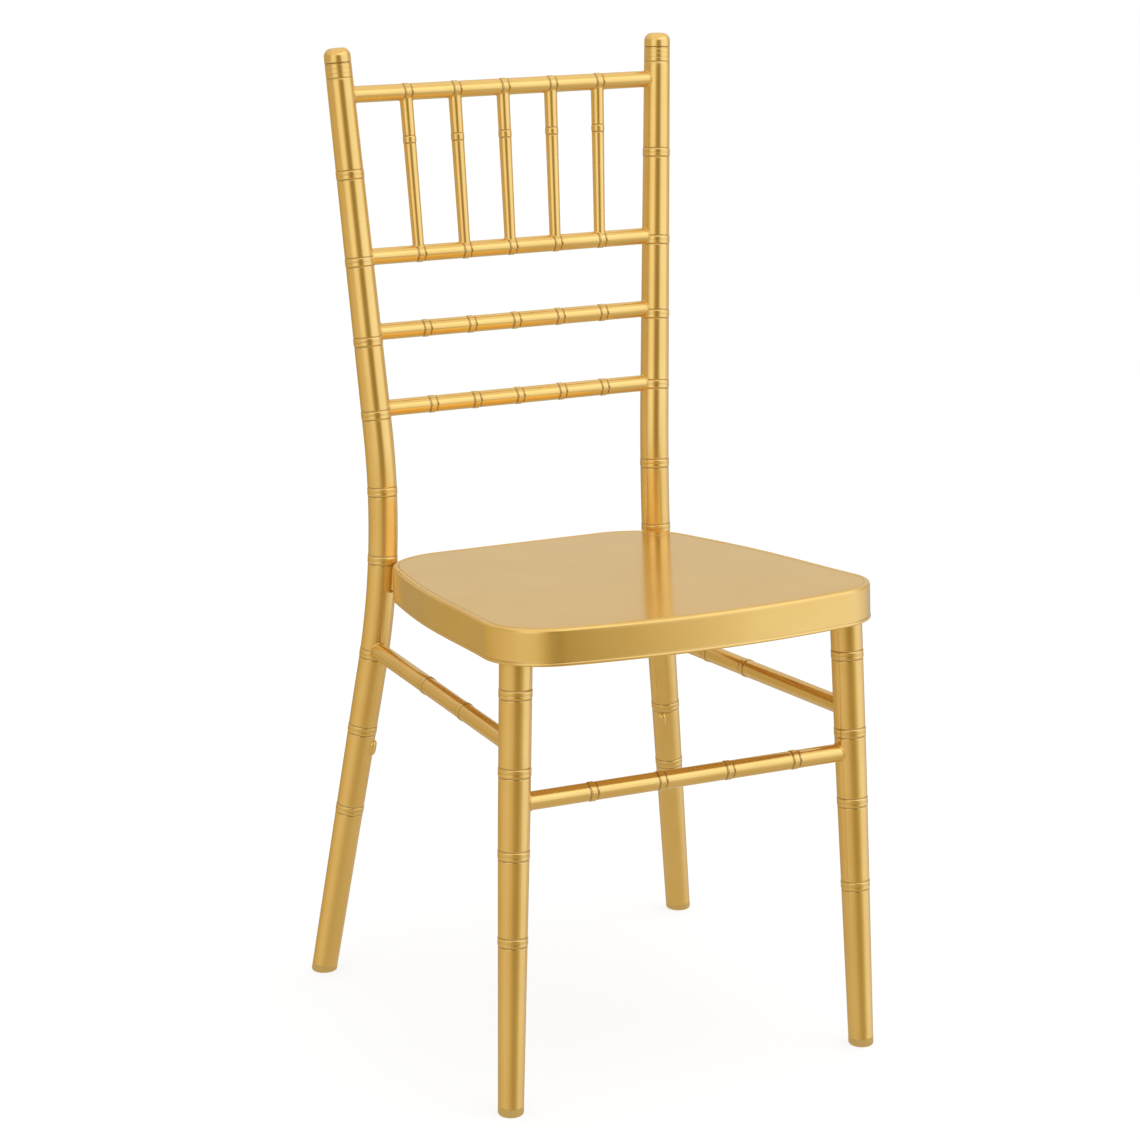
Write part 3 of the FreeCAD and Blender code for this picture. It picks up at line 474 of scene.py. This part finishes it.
# Injection moulded polyamide with a fine spark texture, 0.8 mm across, and a soft plastic shine
spark = add_node(tree, "ShaderNodeTexNoise", {
    "Vector": add_node(tree, "ShaderNodeTexCoord").outputs["Object"],
    "Scale": 1000 / 0.8, "Detail": 2.0}).outputs["Fac"]
nylon_tone = add_node(tree, "ShaderNodeMix", {
    "Factor": spark, 6: linear("#B08D45"), 7: linear("#C09C50")}, data_type="RGBA").outputs[2]
nylon_bump = add_node(tree, "ShaderNodeBump", {
    "Height": spark, "Strength": 0.6, "Distance": 2e-5}).outputs["Normal"]
nylon = add_node(tree, "ShaderNodeBsdfPrincipled", {
    "Base Color": nylon_tone, "Roughness": 0.42, "Normal": nylon_bump, "IOR": 1.53})
add_node(tree, "ShaderNodeOutputMaterial", {"Surface": nylon.outputs["BSDF"]})

feet = {}
for side_name in SIDES:
    leg, post = legs[side_name], posts[side_name]
    feet[f"{side_name}_front"] = leg["foot"], leg["forward"], float(leg["radius"](GLIDE_HEIGHT))
    post_foot, post_forward, _ = post["at"](0.0)
    feet[f"{side_name}_back"] = post_foot[0], post_forward[0], float(post["radius"](GLIDE_HEIGHT))

for foot_name, (foot, forward, radius) in feet.items():
    quarter = np.linspace(0.0, math.pi / 2, 10)
    shank_radius = radius - POST_WALL - PLUG_CLEARANCE
    profile = np.concatenate([
        [(0.0, (radius - GLIDE_CORNER) * 0.6)],
        np.stack([GLIDE_CORNER * (1 - np.cos(quarter)),
                  radius - GLIDE_CORNER * (1 - np.sin(quarter))], -1),
        [(5.0, radius)], [(GLIDE_HEIGHT - drop, radius - inset) for drop, inset in GLIDE_SEAM],
        [(GLIDE_HEIGHT - GLIDE_SEAM[-1][0], shank_radius), (GLIDE_HEIGHT + PLUG_LENGTH, shank_radius),
         (GLIDE_HEIGHT + PLUG_LENGTH, shank_radius * 0.5)]])
    body = straight_rings(foot, forward, profile[:, 0], profile[:, 1], PLUG_COLUMNS)
    # The head takes up the leg's lean: each line down its side is cut or drawn to the floor
    spoke_lift = (body - body.mean(axis=1, keepdims=True))[:, :, 2]
    hold = 1 - smooth_step(profile[:, :1] / LEVELLED_HEIGHT)
    body -= (spoke_lift * hold / forward[2])[:, :, None] * forward
    glide = closed_piece(f"{foot_name}_foot_glide", body, glide_nylon)
    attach(glide, "root")
    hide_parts(f"{foot_name}_glide")


# Back rails
# Four straight steel tubes with rolled collars, notched to fit round the posts and welded to them.
# The top two also carry the spindles at their collars.

RAIL_DIAMETER = 16.0
RAIL_WALL = 1.2
# As for a post's node: length, rise, ramp, waist and score lines
COLLAR = (7.2, 0.6, 1.4, 0.1, 0.85)
COLLAR_STEPS = np.arange(5) - 2
RAILS = {
    "top_rail": (TOP_RAIL_HEIGHT, 51.0),
    "spindle_rail": (SPINDLE_RAIL_HEIGHT, 48.5),
    "upper_cross_rail": (UPPER_CROSS_HEIGHT, 47.5),
    "lower_cross_rail": (LOWER_CROSS_HEIGHT, 46.3)}
# The mesh: as for a post, and how far from each end the notch's shape fades out
BAR_COLUMNS = 48
BAR_STEP = 5.0
COLLAR_STEP = 0.4
COLLAR_REACH = 8.5
NOTCH_FADE = 14.0


def meet(points, forward, tube, far):
    """How far lines from the points run to a round tube, given by a point, its direction and radius.
    With all parts along the tube taken out, the square of the offset plus the distance times the
    step equals the square of the radius, and the nearer or the farther root is taken."""
    centre, axis, radius = tube
    offset = points - centre
    offset = offset - (offset @ axis)[:, None] * axis
    step = forward - (forward @ axis) * axis
    half_b, a = offset @ step, step @ step
    root = np.sqrt(np.maximum(half_b ** 2 - a * (np.sum(offset ** 2, axis=1) - radius ** 2), 0.0))
    return (-half_b + (root if far else -root)) / a


def coped_tube(name, replaced, start, end, diameters, wall, collar, collars, tubes, columns):
    """A straight tube with collars, its two ends notched to the round tubes they are welded to: near
    each end the rings are sheared, fading inward, so that the last ring lies on that tube. Gives the
    seam at each end: its points, the tube's own spokes and the directions out of the other tube."""
    start, end = np.asarray(start, float), np.asarray(end, float)
    forward = unit(end - start)
    length = float(np.linalg.norm(end - start))
    side = unit(np.cross([0.0, 1.0, 0.0] if abs(forward[1]) < 0.9 else [1.0, 0.0, 0.0], forward))
    cross = np.cross(forward, side)
    angle = np.arange(columns) * 2 * math.pi / columns
    spoke = np.cos(angle)[:, None] * side + np.sin(angle)[:, None] * cross
    radii = [diameter / 2 for diameter in diameters]
    first = meet(start + radii[0] * spoke, forward, tubes[0], True)
    last = meet(start + radii[1] * spoke, forward, tubes[1], False)
    outside = rows_along(first.mean(), last.mean(), BAR_STEP, collars, COLLAR_REACH, COLLAR_STEP)
    radius, groove_shade = with_nodes(outside, np.interp(outside, [0.0, length], radii), collars, collar)
    inside = np.linspace(last.mean(), first.mean(), 24)
    along = np.concatenate([outside, inside])
    radius = np.concatenate([radius, np.interp(inside, [0.0, length], radii) - wall])
    start_hold = np.clip(1 - (along - first.mean()) / NOTCH_FADE, 0.0, 1.0)[:, None]
    end_hold = np.clip(1 - (last.mean() - along) / NOTCH_FADE, 0.0, 1.0)[:, None]
    shifted = along[:, None] + start_hold * (first - first.mean()) + end_hold * (last - last.mean())
    points = start + shifted[:, :, None] * forward + radius[:, None, None] * spoke
    bar = skin_mesh(name, points, [grid_faces(len(along), columns, True)], tube_lacquer,
                    np.repeat(groove_shade, columns))
    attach(bar, "root")
    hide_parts(replaced)
    seams = []
    for ring_radius, reach, (centre, axis, _) in zip(radii, (first, last), tubes):
        seam = start + reach[:, None] * forward + ring_radius * spoke
        out = seam - centre
        seams.append((seam, spoke, unit(out - (out @ axis)[:, None] * axis)))
    return seams


def post_tube_at(side_name, height):
    """The post at a height, taken as a straight round tube: a point, its direction and radius."""
    post = posts[side_name]
    along = float(np.interp(height, post["heights"], post["steps"]))
    place, forward, _ = post["at"](along)
    return place[0], forward[0], float(post["radius"](along))


rail_seams = []
for rail_name, (height, pitch) in RAILS.items():
    ends = [post_tube_at(side_name, height) for side_name in SIDES]
    middle = np.linalg.norm(ends[1][0] - ends[0][0]) / 2
    rail_seams += coped_tube(
        f"{rail_name}_tube", rail_name, ends[0][0], ends[1][0], (RAIL_DIAMETER, RAIL_DIAMETER),
        RAIL_WALL, COLLAR, middle + COLLAR_STEPS * pitch, ends, BAR_COLUMNS)


# Spindles
# Five thin tubes, tapered to the foot, notched onto the two upper rails behind their collars and
# welded all round. Each has one collar below its head.

SPINDLE_BOTTOM_DIAMETER = 10.8
SPINDLE_TOP_DIAMETER = 12.8
SPINDLE_WALL = 1.0
SPINDLE_NODE_DROP = 45.0
SPINDLE_COLLAR = (7.0, 0.4, 1.2, 0.1, 0.45)
SPINDLE_COLUMNS = 40

spindle_seams = []
rail_way = np.array([1.0, 0.0, 0.0])
for number, step in enumerate(COLLAR_STEPS, 1):
    foot, head = (step * RAILS[rail_name][1] * rail_way
                  + post_tube_at("right", RAILS[rail_name][0])[0] * (0, 1, 1)
                  for rail_name in ("spindle_rail", "top_rail"))
    node = np.linalg.norm(head - foot) - SPINDLE_NODE_DROP
    spindle_seams += coped_tube(
        f"spindle_tube_{number}", f"spindle_{number}", foot, head,
        (SPINDLE_BOTTOM_DIAMETER, SPINDLE_TOP_DIAMETER), SPINDLE_WALL, SPINDLE_COLLAR, [node],
        [(end, rail_way, RAIL_DIAMETER / 2) for end in (foot, head)], SPINDLE_COLUMNS)


# Rungs
# Three steel tubes with rolled collars brace the legs: one between the front legs and one at each
# side from post to leg, notched and welded at both ends. The sides are set at unlike heights.

RUNG_DIAMETERS = (17.0, 17.0)
RUNG_WALL = 1.2
FRONT_RUNG_HEIGHT = 289.5
FRONT_RUNG_NODES = 75.8 + 69.5 * np.arange(4)
# Height at the post, height at the leg, and the nodes' distances from the post
SIDE_RUNGS = {"left": (340.0, 341.0, (141.2, 233.4)), "right": (315.0, 330.0, (98.8, 170.7))}


def leg_tube_at(side_name, height):
    """A front leg at a height, as a round tube: a point, its direction and radius."""
    leg = legs[side_name]
    along = height * leg["slant"]
    return leg["foot"] + along * leg["forward"], leg["forward"], float(leg["radius"](along))


ends = [leg_tube_at(side_name, FRONT_RUNG_HEIGHT) for side_name in SIDES]
rung_seams = coped_tube("front_rung_tube", "front_rung", ends[0][0], ends[1][0], RUNG_DIAMETERS,
                        RUNG_WALL, COLLAR, FRONT_RUNG_NODES, ends, BAR_COLUMNS)
for side_name, (back_height, front_height, nodes) in SIDE_RUNGS.items():
    ends = [post_tube_at(side_name, back_height), leg_tube_at(side_name, front_height)]
    rung_seams += coped_tube(
        f"{side_name}_side_rung_tube", f"{side_name}_side_rung", ends[0][0], ends[1][0],
        RUNG_DIAMETERS, RUNG_WALL, COLLAR, nodes, ends, BAR_COLUMNS)


# Weld beads
# A fine fillet of weld runs round each notched end. It is rippled where the pool froze step by
# step, brushed back and painted over, so it shows as a soft ridge.

RAIL_BEAD = 0.95
SPINDLE_BEAD = 0.75
RUNG_BEAD = 1.1
BEAD_COLUMNS = 12
WELD_RIPPLE_PITCH = 1.6
WELD_RIPPLE_SHARE = 0.10


def weld_beads(name, seams, size):
    """Closed rings of weld: round each seam point, a circle square to the seam, whose radius swells
    and shrinks with the ripples."""
    turns = np.arange(BEAD_COLUMNS) * 2 * math.pi / BEAD_COLUMNS
    points, faces, groove_shade = [], [], []
    for seam, spoke, out in seams:
        outward = unit(spoke + out)
        tangent = unit(np.roll(seam, -1, axis=0) - np.roll(seam, 1, axis=0))
        sideways = np.cross(tangent, outward)
        girth = np.linalg.norm(np.roll(seam, -1, axis=0) - seam, axis=1).sum()
        ripples = round(girth / WELD_RIPPLE_PITCH / 2)
        turn = np.arange(len(seam)) * 2 * math.pi / len(seam)
        swell = size * (1 + WELD_RIPPLE_SHARE * np.sin(ripples * turn))
        faces.append(grid_faces(len(seam), BEAD_COLUMNS, True) + sum(len(part) for part in points))
        points.append(rings(seam, outward, sideways, swell, BEAD_COLUMNS).reshape(-1, 3))
        # Painted shade on the inner half of each bead, darkest where it faces into the joint between
        # the tubes
        groove_shade.append(np.tile(np.clip(0.35 - 0.5 * np.cos(turns), 0.0, 1.0), len(seam)))
    return skin_mesh(name, np.concatenate(points), faces, tube_lacquer, np.concatenate(groove_shade))


for weld_name, seams, size in (("rail_weld_beads", rail_seams, RAIL_BEAD),
                               ("spindle_weld_beads", spindle_seams, SPINDLE_BEAD),
                               ("rung_weld_beads", rung_seams, RUNG_BEAD)):
    beads = weld_beads(weld_name, seams, size)
    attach(beads, "root")


# Seat
# One sheet of steel pressed into a pan: a flat top with a low rolled rim, a deep skirt with bowed
# front and rounded corners, and a hemmed lower edge. It is painted inside and out.

SEAT_FRONT = 229.3
SEAT_SIDE_FLARE = math.radians(7.35)
SEAT_BOW_RADIUS = 700.0
SEAT_FRONT_CORNER = 62.0
SEAT_BACK_CORNER = 68.0
SEAT_CONTACT_ANGLE = math.radians(42.7)
SKIRT_HEIGHT = 33.2
SEAT_SHEET = 1.5
SEAT_EDGE_RADIUS = 2.6
SADDLE_GAP = 2.6
# The press springs the sides out, over this share of the depth from the back edge
SIDE_BOW = 7.5
SIDE_BOW_SHARE = 0.8
RIM_RISE = 0.35
RIM_GROOVE_INSET = 5.6
RIM_GROOVE_DEPTH = 0.45
RIM_GROOVE_WIDTH = 0.7
RIM_GROOVE_OFFSETS = np.arange(1.8, -1.9, -0.45)
HEM_RISE = 0.45
HEM_HEIGHT = 3.0

contact_height = seat_top(POST_KNEE[1]) - SKIRT_HEIGHT / 2
contact_place, _, contact_radius = post_tube_at("right", contact_height)
contact_way = np.array([math.cos(SEAT_CONTACT_ANGLE), math.sin(SEAT_CONTACT_ANGLE)])
back_centre = contact_place[:2] - contact_way * (SEAT_BACK_CORNER + SADDLE_GAP + contact_radius)
seat_back = back_centre[1] + SEAT_BACK_CORNER
side_way = np.array([math.cos(SEAT_SIDE_FLARE), math.sin(SEAT_SIDE_FLARE)])
front_way = np.array([math.sin(SEAT_SIDE_FLARE), -math.cos(SEAT_SIDE_FLARE)])
side_distance = back_centre @ side_way + SEAT_BACK_CORNER
bow_centre = np.array([0.0, SEAT_BOW_RADIUS - SEAT_FRONT])
inset_side = side_distance - SEAT_FRONT_CORNER
corner_run = math.sqrt((SEAT_BOW_RADIUS - SEAT_FRONT_CORNER) ** 2
                       - (inset_side - bow_centre @ side_way) ** 2)
front_centre = side_way * inset_side + front_way * (bow_centre @ front_way + corner_run)


def arc(centre, radius, start, end, count):
    """Points of a round corner: the centre plus the radius times the cosine and the sine, at even
    angles from the first to the last."""
    angle = np.linspace(start, end, count)
    return centre + radius * np.stack([np.cos(angle), np.sin(angle)], -1)


bow_meeting = math.atan2(*(front_centre - bow_centre)[::-1])
back_corner = arc(back_centre, SEAT_BACK_CORNER, math.pi / 2, SEAT_SIDE_FLARE, 26)
front_corner = arc(front_centre, SEAT_FRONT_CORNER, SEAT_SIDE_FLARE, bow_meeting, 30)
front_bow = arc(bow_centre, SEAT_BOW_RADIUS, bow_meeting, -math.pi / 2, 16)
side_share = np.linspace(0.0, 1.0, 14)[1:-1, None]
back_share = np.linspace(0.0, 1.0, 10)[:-1, None]
half = np.concatenate([
    back_corner[:1] * (0, 1) * (1 - back_share) + back_corner[:1] * back_share, back_corner,
    back_corner[-1:] * (1 - side_share) + front_corner[:1] * side_share, front_corner,
    front_bow[1:]])
outline = np.concatenate([half, (half * (-1, 1))[-2:0:-1]])

# The sides' bow is a sine to the power of 1.5 over its share of the depth. Outward is square to the
# line between each point's neighbours.
way_forward = (seat_back - outline[:, 1]) / (seat_back + SEAT_FRONT) / SIDE_BOW_SHARE
bow = SIDE_BOW * np.sin(math.pi * np.clip(way_forward, 0.0, 1.0)) ** 1.5
outline[:, 0] += np.sign(outline[:, 0]) * bow
outline_way = unit(np.roll(outline, -1, axis=0) - np.roll(outline, 1, axis=0))
outline_out = np.stack([-outline_way[:, 1], outline_way[:, 0]], -1)

# The section through the pan's edge, from the top face round the skirt to the underside: each row is
# an inset from the outline and a height over the top face
quarter = np.linspace(0.0, math.pi / 2, 7)
inner_radius = SEAT_EDGE_RADIUS - SEAT_SHEET
top_rows = [(16.0, 0.0), (11.0, 0.0), (8.5, 0.0)]
groove_rows = [(RIM_GROOVE_INSET + offset,
                -RIM_GROOVE_DEPTH * math.exp(-((offset / RIM_GROOVE_WIDTH) ** 2)))
               for offset in RIM_GROOVE_OFFSETS]
rim_rows = [(3.4, 0.6 * RIM_RISE), (SEAT_EDGE_RADIUS + 0.2, RIM_RISE)]
edge_rows = [(SEAT_EDGE_RADIUS * (1 - math.sin(angle)),
              (SEAT_EDGE_RADIUS + RIM_RISE) * math.cos(angle) - SEAT_EDGE_RADIUS)
             for angle in quarter]
skirt_rows = [(0.0, -height) for height in (
    4.0, 8.0, 14.0, 20.0, 26.0, SKIRT_HEIGHT - 4.2, SKIRT_HEIGHT - 3.4)]
hem_rows = [(-HEM_RISE * math.sin(math.pi * share) ** 0.6 + 1.5 * max(0.0, share - 0.75),
             -SKIRT_HEIGHT + HEM_HEIGHT * (1 - share)) for share in np.linspace(0.05, 0.97, 9)]
inner_rows = [(1.2, -SKIRT_HEIGHT + 0.1), (SEAT_SHEET, -SKIRT_HEIGHT + 0.6), (SEAT_SHEET, -20.0),
              (SEAT_SHEET, -8.0)]
inner_rows += [(SEAT_SHEET + inner_radius * (1 - math.cos(angle)),
                -SEAT_SHEET - inner_radius * (1 - math.sin(angle))) for angle in quarter]
inner_rows += [(12.0, -SEAT_SHEET), (16.0, -SEAT_SHEET)]
profile = np.array(top_rows + groove_rows + rim_rows + edge_rows + skirt_rows + hem_rows + inner_rows)
inset_plan = outline[None, :, :] - profile[:, 0][:, None, None] * outline_out[None, :, :]
seat_middle = np.array([0.0, (seat_back - SEAT_FRONT) / 2])
shares = np.array([0.03, 0.1, 0.2, 0.3, 0.4, 0.5, 0.6, 0.7, 0.8, 0.9, 0.96])[:, None, None]
top_plan = seat_middle + (inset_plan[:1] - seat_middle) * shares
under_plan = seat_middle + (inset_plan[-1:] - seat_middle) * shares[::-1]
plan = np.concatenate([top_plan, inset_plan, under_plan])
lift = np.concatenate([np.full(len(shares), profile[0, 1]), profile[:, 1],
                       np.full(len(shares), profile[-1, 1])])

# Onto the tilted plane: the plan's way forward from the back edge is measured along the slope
seat_forward = np.array([0.0, -math.cos(SEAT_TILT), math.sin(SEAT_TILT)])
seat_up = np.array([0.0, math.sin(SEAT_TILT), math.cos(SEAT_TILT)])
seat_origin = np.array([0.0, seat_back, seat_top(seat_back)])


def on_seat(plan, lift):
    """A plan point and a height over the top face, as a place in the chair."""
    place = seat_origin + (seat_back - plan[..., 1:]) * seat_forward
    place += np.asarray(lift)[..., None] * seat_up
    place[..., 0] = plan[..., 0]
    return place


seat_points = on_seat(plan, lift[:, None] * np.ones((1, len(outline))))
# Painted shade: the rim's groove and the crease above the hem are painted darker, toward the sheet
# paint's dark third colour
seat_groove_shade = np.zeros(len(lift))
first_groove = len(shares) + len(top_rows)
seat_groove_shade[first_groove:first_groove + len(groove_rows)] = 0.8 * np.exp(
    -((RIM_GROOVE_OFFSETS / 0.6) ** 2))
first_hem = first_groove + len(groove_rows) + len(rim_rows) + len(edge_rows) + len(skirt_rows)
seat_groove_shade[first_hem - 1:first_hem + 1] = 0.5
seat_lacquer = gold_lacquer(
    "stoved gold lacquer on sheet", "#E9BF66", "#E5B95F", "#8A6226", 0.24, 1e-6)
seat = closed_piece("seat_pressing", seat_points, seat_lacquer, seat_groove_shade,
                    (on_seat(seat_middle, 0.0), on_seat(seat_middle, -SEAT_SHEET)))
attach(seat, "root")
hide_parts("seat_pan")


# Under the seat
# Corner plates with sockets for the front legs, two rectangular tubes across, and a spacer block
# between the pan and each post are welded in place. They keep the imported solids, in the same paint.

for node_name in ("seat_front_crossbar", "seat_back_crossbar", "left_leg_bracket",
                  "right_leg_bracket", "left_post_saddle", "right_post_saddle"):
    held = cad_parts[node_name]
    held.data.materials.clear()
    held.data.materials.append(tube_lacquer)


# Stacking bumpers
# A small moulded pad is riveted to the inner front of each back leg, so that stacked chairs don't
# rub. Its face is rounded over and it was sprayed with the frame.

BUMPER_DROP = 13.0
BUMPER_HEIGHT = 16.0
BUMPER_WIDTH = 9.0
BUMPER_PROUD = 2.6
BUMPER_TURN = math.radians(45.0)
BUMPER_SUNK = 2.5
BUMPER_COLUMNS = 40

for side_name, side in SIDES.items():
    centre, forward, radius = post_tube_at(side_name, BUMPER_NODE_HEIGHTS[side_name] - BUMPER_DROP)
    out = np.array([-side * math.sin(BUMPER_TURN), -math.cos(BUMPER_TURN), 0.0])
    out = unit(out - forward * (out @ forward))
    across = np.cross(forward, out)
    # A rounded oblong: the cosine and the sine, each to the power of 0.6 with its sign kept
    turns = np.arange(BUMPER_COLUMNS) * 2 * math.pi / BUMPER_COLUMNS
    outline_x = np.sign(np.cos(turns)) * np.abs(np.cos(turns)) ** 0.6 * BUMPER_WIDTH / 2
    outline_y = np.sign(np.sin(turns)) * np.abs(np.sin(turns)) ** 0.6 * BUMPER_HEIGHT / 2
    quarter = np.linspace(0.0, math.pi / 2, 9)
    scales = np.concatenate([[1.0, 1.0], 1 - 0.45 * (1 - np.cos(quarter)), [0.3]])
    lifts = radius + np.concatenate([[-BUMPER_SUNK, -0.5], BUMPER_PROUD * np.sin(quarter),
                                     [BUMPER_PROUD + 0.05]])
    body = centre + lifts[:, None, None] * out
    body = body + (scales[:, None] * outline_x)[:, :, None] * across
    body = body + (scales[:, None] * outline_y)[:, :, None] * forward
    pad = closed_piece(f"{side_name}_bumper_pad", body, tube_lacquer,
                       ends=(centre + lifts[0] * out, centre + (lifts[-1] + 0.02) * out))
    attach(pad, "root")
    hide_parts(f"{side_name}_stacking_bumper")


# Floor
# A plain sweep of white paper on the studio floor. The camera sees it as white, with the chair's
# soft shadow on it. The chair takes no light from it.

FLOOR_REACH = 40.0

floor_mesh = bpy.data.meshes.new("floor")
floor_mesh.from_pydata([(x * FLOOR_REACH, y * FLOOR_REACH, 0.0)
                        for x, y in ((-1, -1), (1, -1), (1, 1), (-1, 1))], [], [(0, 1, 2, 3)])
floor = bpy.data.objects.new("floor", floor_mesh)
bpy.context.scene.collection.objects.link(floor)
floor.visible_glossy = False
floor.visible_shadow = False
floor.visible_diffuse = False
floor_paper = new_material("white paper")
tree = floor_paper.node_tree
# Mostly its own glow, which stands for light from all sides, and a little of the lamp's light
lit = add_node(tree, "ShaderNodeBsdfDiffuse", {"Color": (0.22, 0.22, 0.22, 1.0)})
glow = add_node(tree, "ShaderNodeEmission", {"Color": (1.0, 1.0, 1.0, 1.0), "Strength": 0.79})
both = add_node(tree, "ShaderNodeAddShader", {0: lit.outputs["BSDF"], 1: glow.outputs["Emission"]})
add_node(tree, "ShaderNodeOutputMaterial", {"Surface": both.outputs["Shader"]})
floor_mesh.materials.append(floor_paper)


# Studio cards
# Only the paint sees these: paper cards hung all round the chair, twelve metres out, from the floor
# up to a steep fifty degrees. White ones make the bright stripes down the tubes, and shaded ones
# on the camera's side the dark stripes.

CARD_DISTANCE = 12.0
CARD_CENTRE = (0.0, 0.0, 0.45)
CARD_STEP = 3.0
# By degrees to the camera's right: brightness and warmth
LOW_CARDS = (
    (-180, 0.38, 0.5), (-150, 0.42, 0.9), (-125, 0.57, 1.0), (-80, 0.76, 0.4), (-50, 0.82, 0.2),
    (-20, 0.68, 0.4), (0, 0.46, 0.8), (15, 0.34, 1.0), (32, 0.38, 1.0), (48, 0.60, 0.4),
    (66, 1.02, -0.3), (95, 1.06, -0.4), (120, 0.85, 0.0), (150, 0.48, 0.2), (180, 0.45, 0.2))
UPPER_CARDS = (
    (-180, 0.69, 0.5), (-150, 0.67, 0.55), (-125, 0.60, 0.7), (-100, 0.60, 0.5), (-66, 0.60, 0.5),
    (-52, 0.90, 0.0), (-42, 1.18, -0.2), (-20, 1.18, -0.2), (-8, 0.72, 0.4), (4, 0.24, 1.0),
    (25, 0.24, 1.0), (36, 0.75, 0.0), (46, 1.14, -0.5), (92, 1.20, -0.5), (108, 0.80, 0.0),
    (126, 0.56, 0.3), (150, 0.66, 0.55), (180, 0.69, 0.5))
HIGH_CARDS = (
    (-180, 0.85, 0.4), (-120, 0.80, 0.3), (-60, 0.95, 0.0), (0, 1.10, 0.0), (30, 1.50, -0.3),
    (80, 1.50, -0.3), (120, 0.95, 0.0), (180, 0.85, 0.4))
FLOOR_CARD = ((-180, 0.60, 0.35), (180, 0.60, 0.35))
# Degrees over the horizon of each row, and its shares of the floor, low, upper and high cards
CARD_ROWS = ((-90, 1.0, 0.0, 0.0, 0.0), (-60, 1.0, 0.0, 0.0, 0.0), (-34, 1.0, 0.0, 0.0, 0.0),
             (-27, 0.7, 0.3, 0.0, 0.0), (-20, 0.1, 0.9, 0.0, 0.0), (-14, 0.0, 1.0, 0.0, 0.0),
             (-9, 0.0, 1.0, 0.0, 0.0), (-4, 0.0, 0.1, 0.9, 0.0), (2, 0.0, 0.0, 1.0, 0.0),
             (12, 0.0, 0.0, 1.0, 0.0), (22, 0.0, 0.0, 0.5, 0.5), (32, 0.0, 0.0, 0.0, 1.0),
             (50, 0.0, 0.0, 0.0, 1.0))


def card_light(stops, bearing):
    """Colour of a row of cards: between stops the brightness and warmth change evenly, and warmth
    takes 0.22 of itself from the green and 0.69 of itself from the blue."""
    degrees, level, warmth = np.array(stops).T
    level, warmth = np.interp(bearing, degrees, level), np.interp(bearing, degrees, warmth)
    return level[:, None] * (1 - warmth[:, None] * np.array([0.0, 0.22, 0.69]))


toward_camera = unit([camera.location.x - camera_aim.x, camera.location.y - camera_aim.y, 0.0])
to_the_right = np.cross([0.0, 0.0, 1.0], toward_camera)
bearing = np.arange(-180.0, 180.0, CARD_STEP)
kinds = [card_light(stops, bearing) for stops in (FLOOR_CARD, LOW_CARDS, UPPER_CARDS, HIGH_CARDS)]
turn = np.radians(bearing)[:, None]
level_way = np.cos(turn) * toward_camera + np.sin(turn) * to_the_right
card_points, card_colours = [], []
for elevation, *shares_of_kinds in CARD_ROWS:
    slope = math.radians(elevation)
    way = math.cos(slope) * level_way + math.sin(slope) * np.array([0.0, 0.0, 1.0])
    card_points.append(CARD_DISTANCE * way + CARD_CENTRE)
    card_colours.append(sum(share * kind for share, kind in zip(shares_of_kinds, kinds)))
cards_mesh = bpy.data.meshes.new("studio_cards")
cards_mesh.from_pydata(np.concatenate(card_points).tolist(), [],
                       grid_faces(len(CARD_ROWS), len(bearing)).tolist())
colours = np.concatenate(card_colours)
cards_mesh.attributes.new("card_colour", "FLOAT_COLOR", "POINT").data.foreach_set(
    "color", np.concatenate([colours, np.ones((len(colours), 1))], axis=1).astype(np.float32).ravel())
card_paper = new_material("lit card")
tree = card_paper.node_tree
card_colour = add_node(tree, "ShaderNodeAttribute", attribute_name="card_colour").outputs["Color"]
card_glow = add_node(tree, "ShaderNodeEmission", {"Color": card_colour, "Strength": 1.0})
add_node(tree, "ShaderNodeOutputMaterial", {"Surface": card_glow.outputs["Emission"]})
card_paper.cycles.emission_sampling = "NONE"
cards_mesh.materials.append(card_paper)
cards = bpy.data.objects.new("studio_cards", cards_mesh)
bpy.context.scene.collection.objects.link(cards)
cards.visible_camera = False
cards.visible_diffuse = False
cards.visible_shadow = False


# Room light
# White paper all round at a strength of one, seen alike by the camera and in the paint, and one soft
# box overhead for the shadow on the floor.

world = bpy.data.worlds.new("white room")
bpy.context.scene.world = world
world.use_nodes = True
tree = world.node_tree
tree.nodes.clear()
background = add_node(tree, "ShaderNodeBackground", {
    "Color": (1.0, 1.0, 1.0, 1.0), "Strength": 1.0})
add_node(tree, "ShaderNodeOutputWorld", {"Surface": background.outputs["Background"]})

overhead = bpy.data.objects.new(
    "overhead_soft_box", bpy.data.lights.new("overhead_soft_box", "AREA"))
overhead.data.shape = "RECTANGLE"
overhead.data.size = 1.6
overhead.data.size_y = 1.6
overhead.data.energy = 16.0
overhead.location = (0.5, -0.4, 2.6)
overhead_aim = Vector((0.0, 0.0, 0.4))
overhead.rotation_euler = (overhead_aim - overhead.location).to_track_quat("-Z", "Y").to_euler()
overhead.visible_glossy = False
bpy.context.scene.collection.objects.link(overhead)

bpy.context.scene.view_settings.view_transform = "Standard"
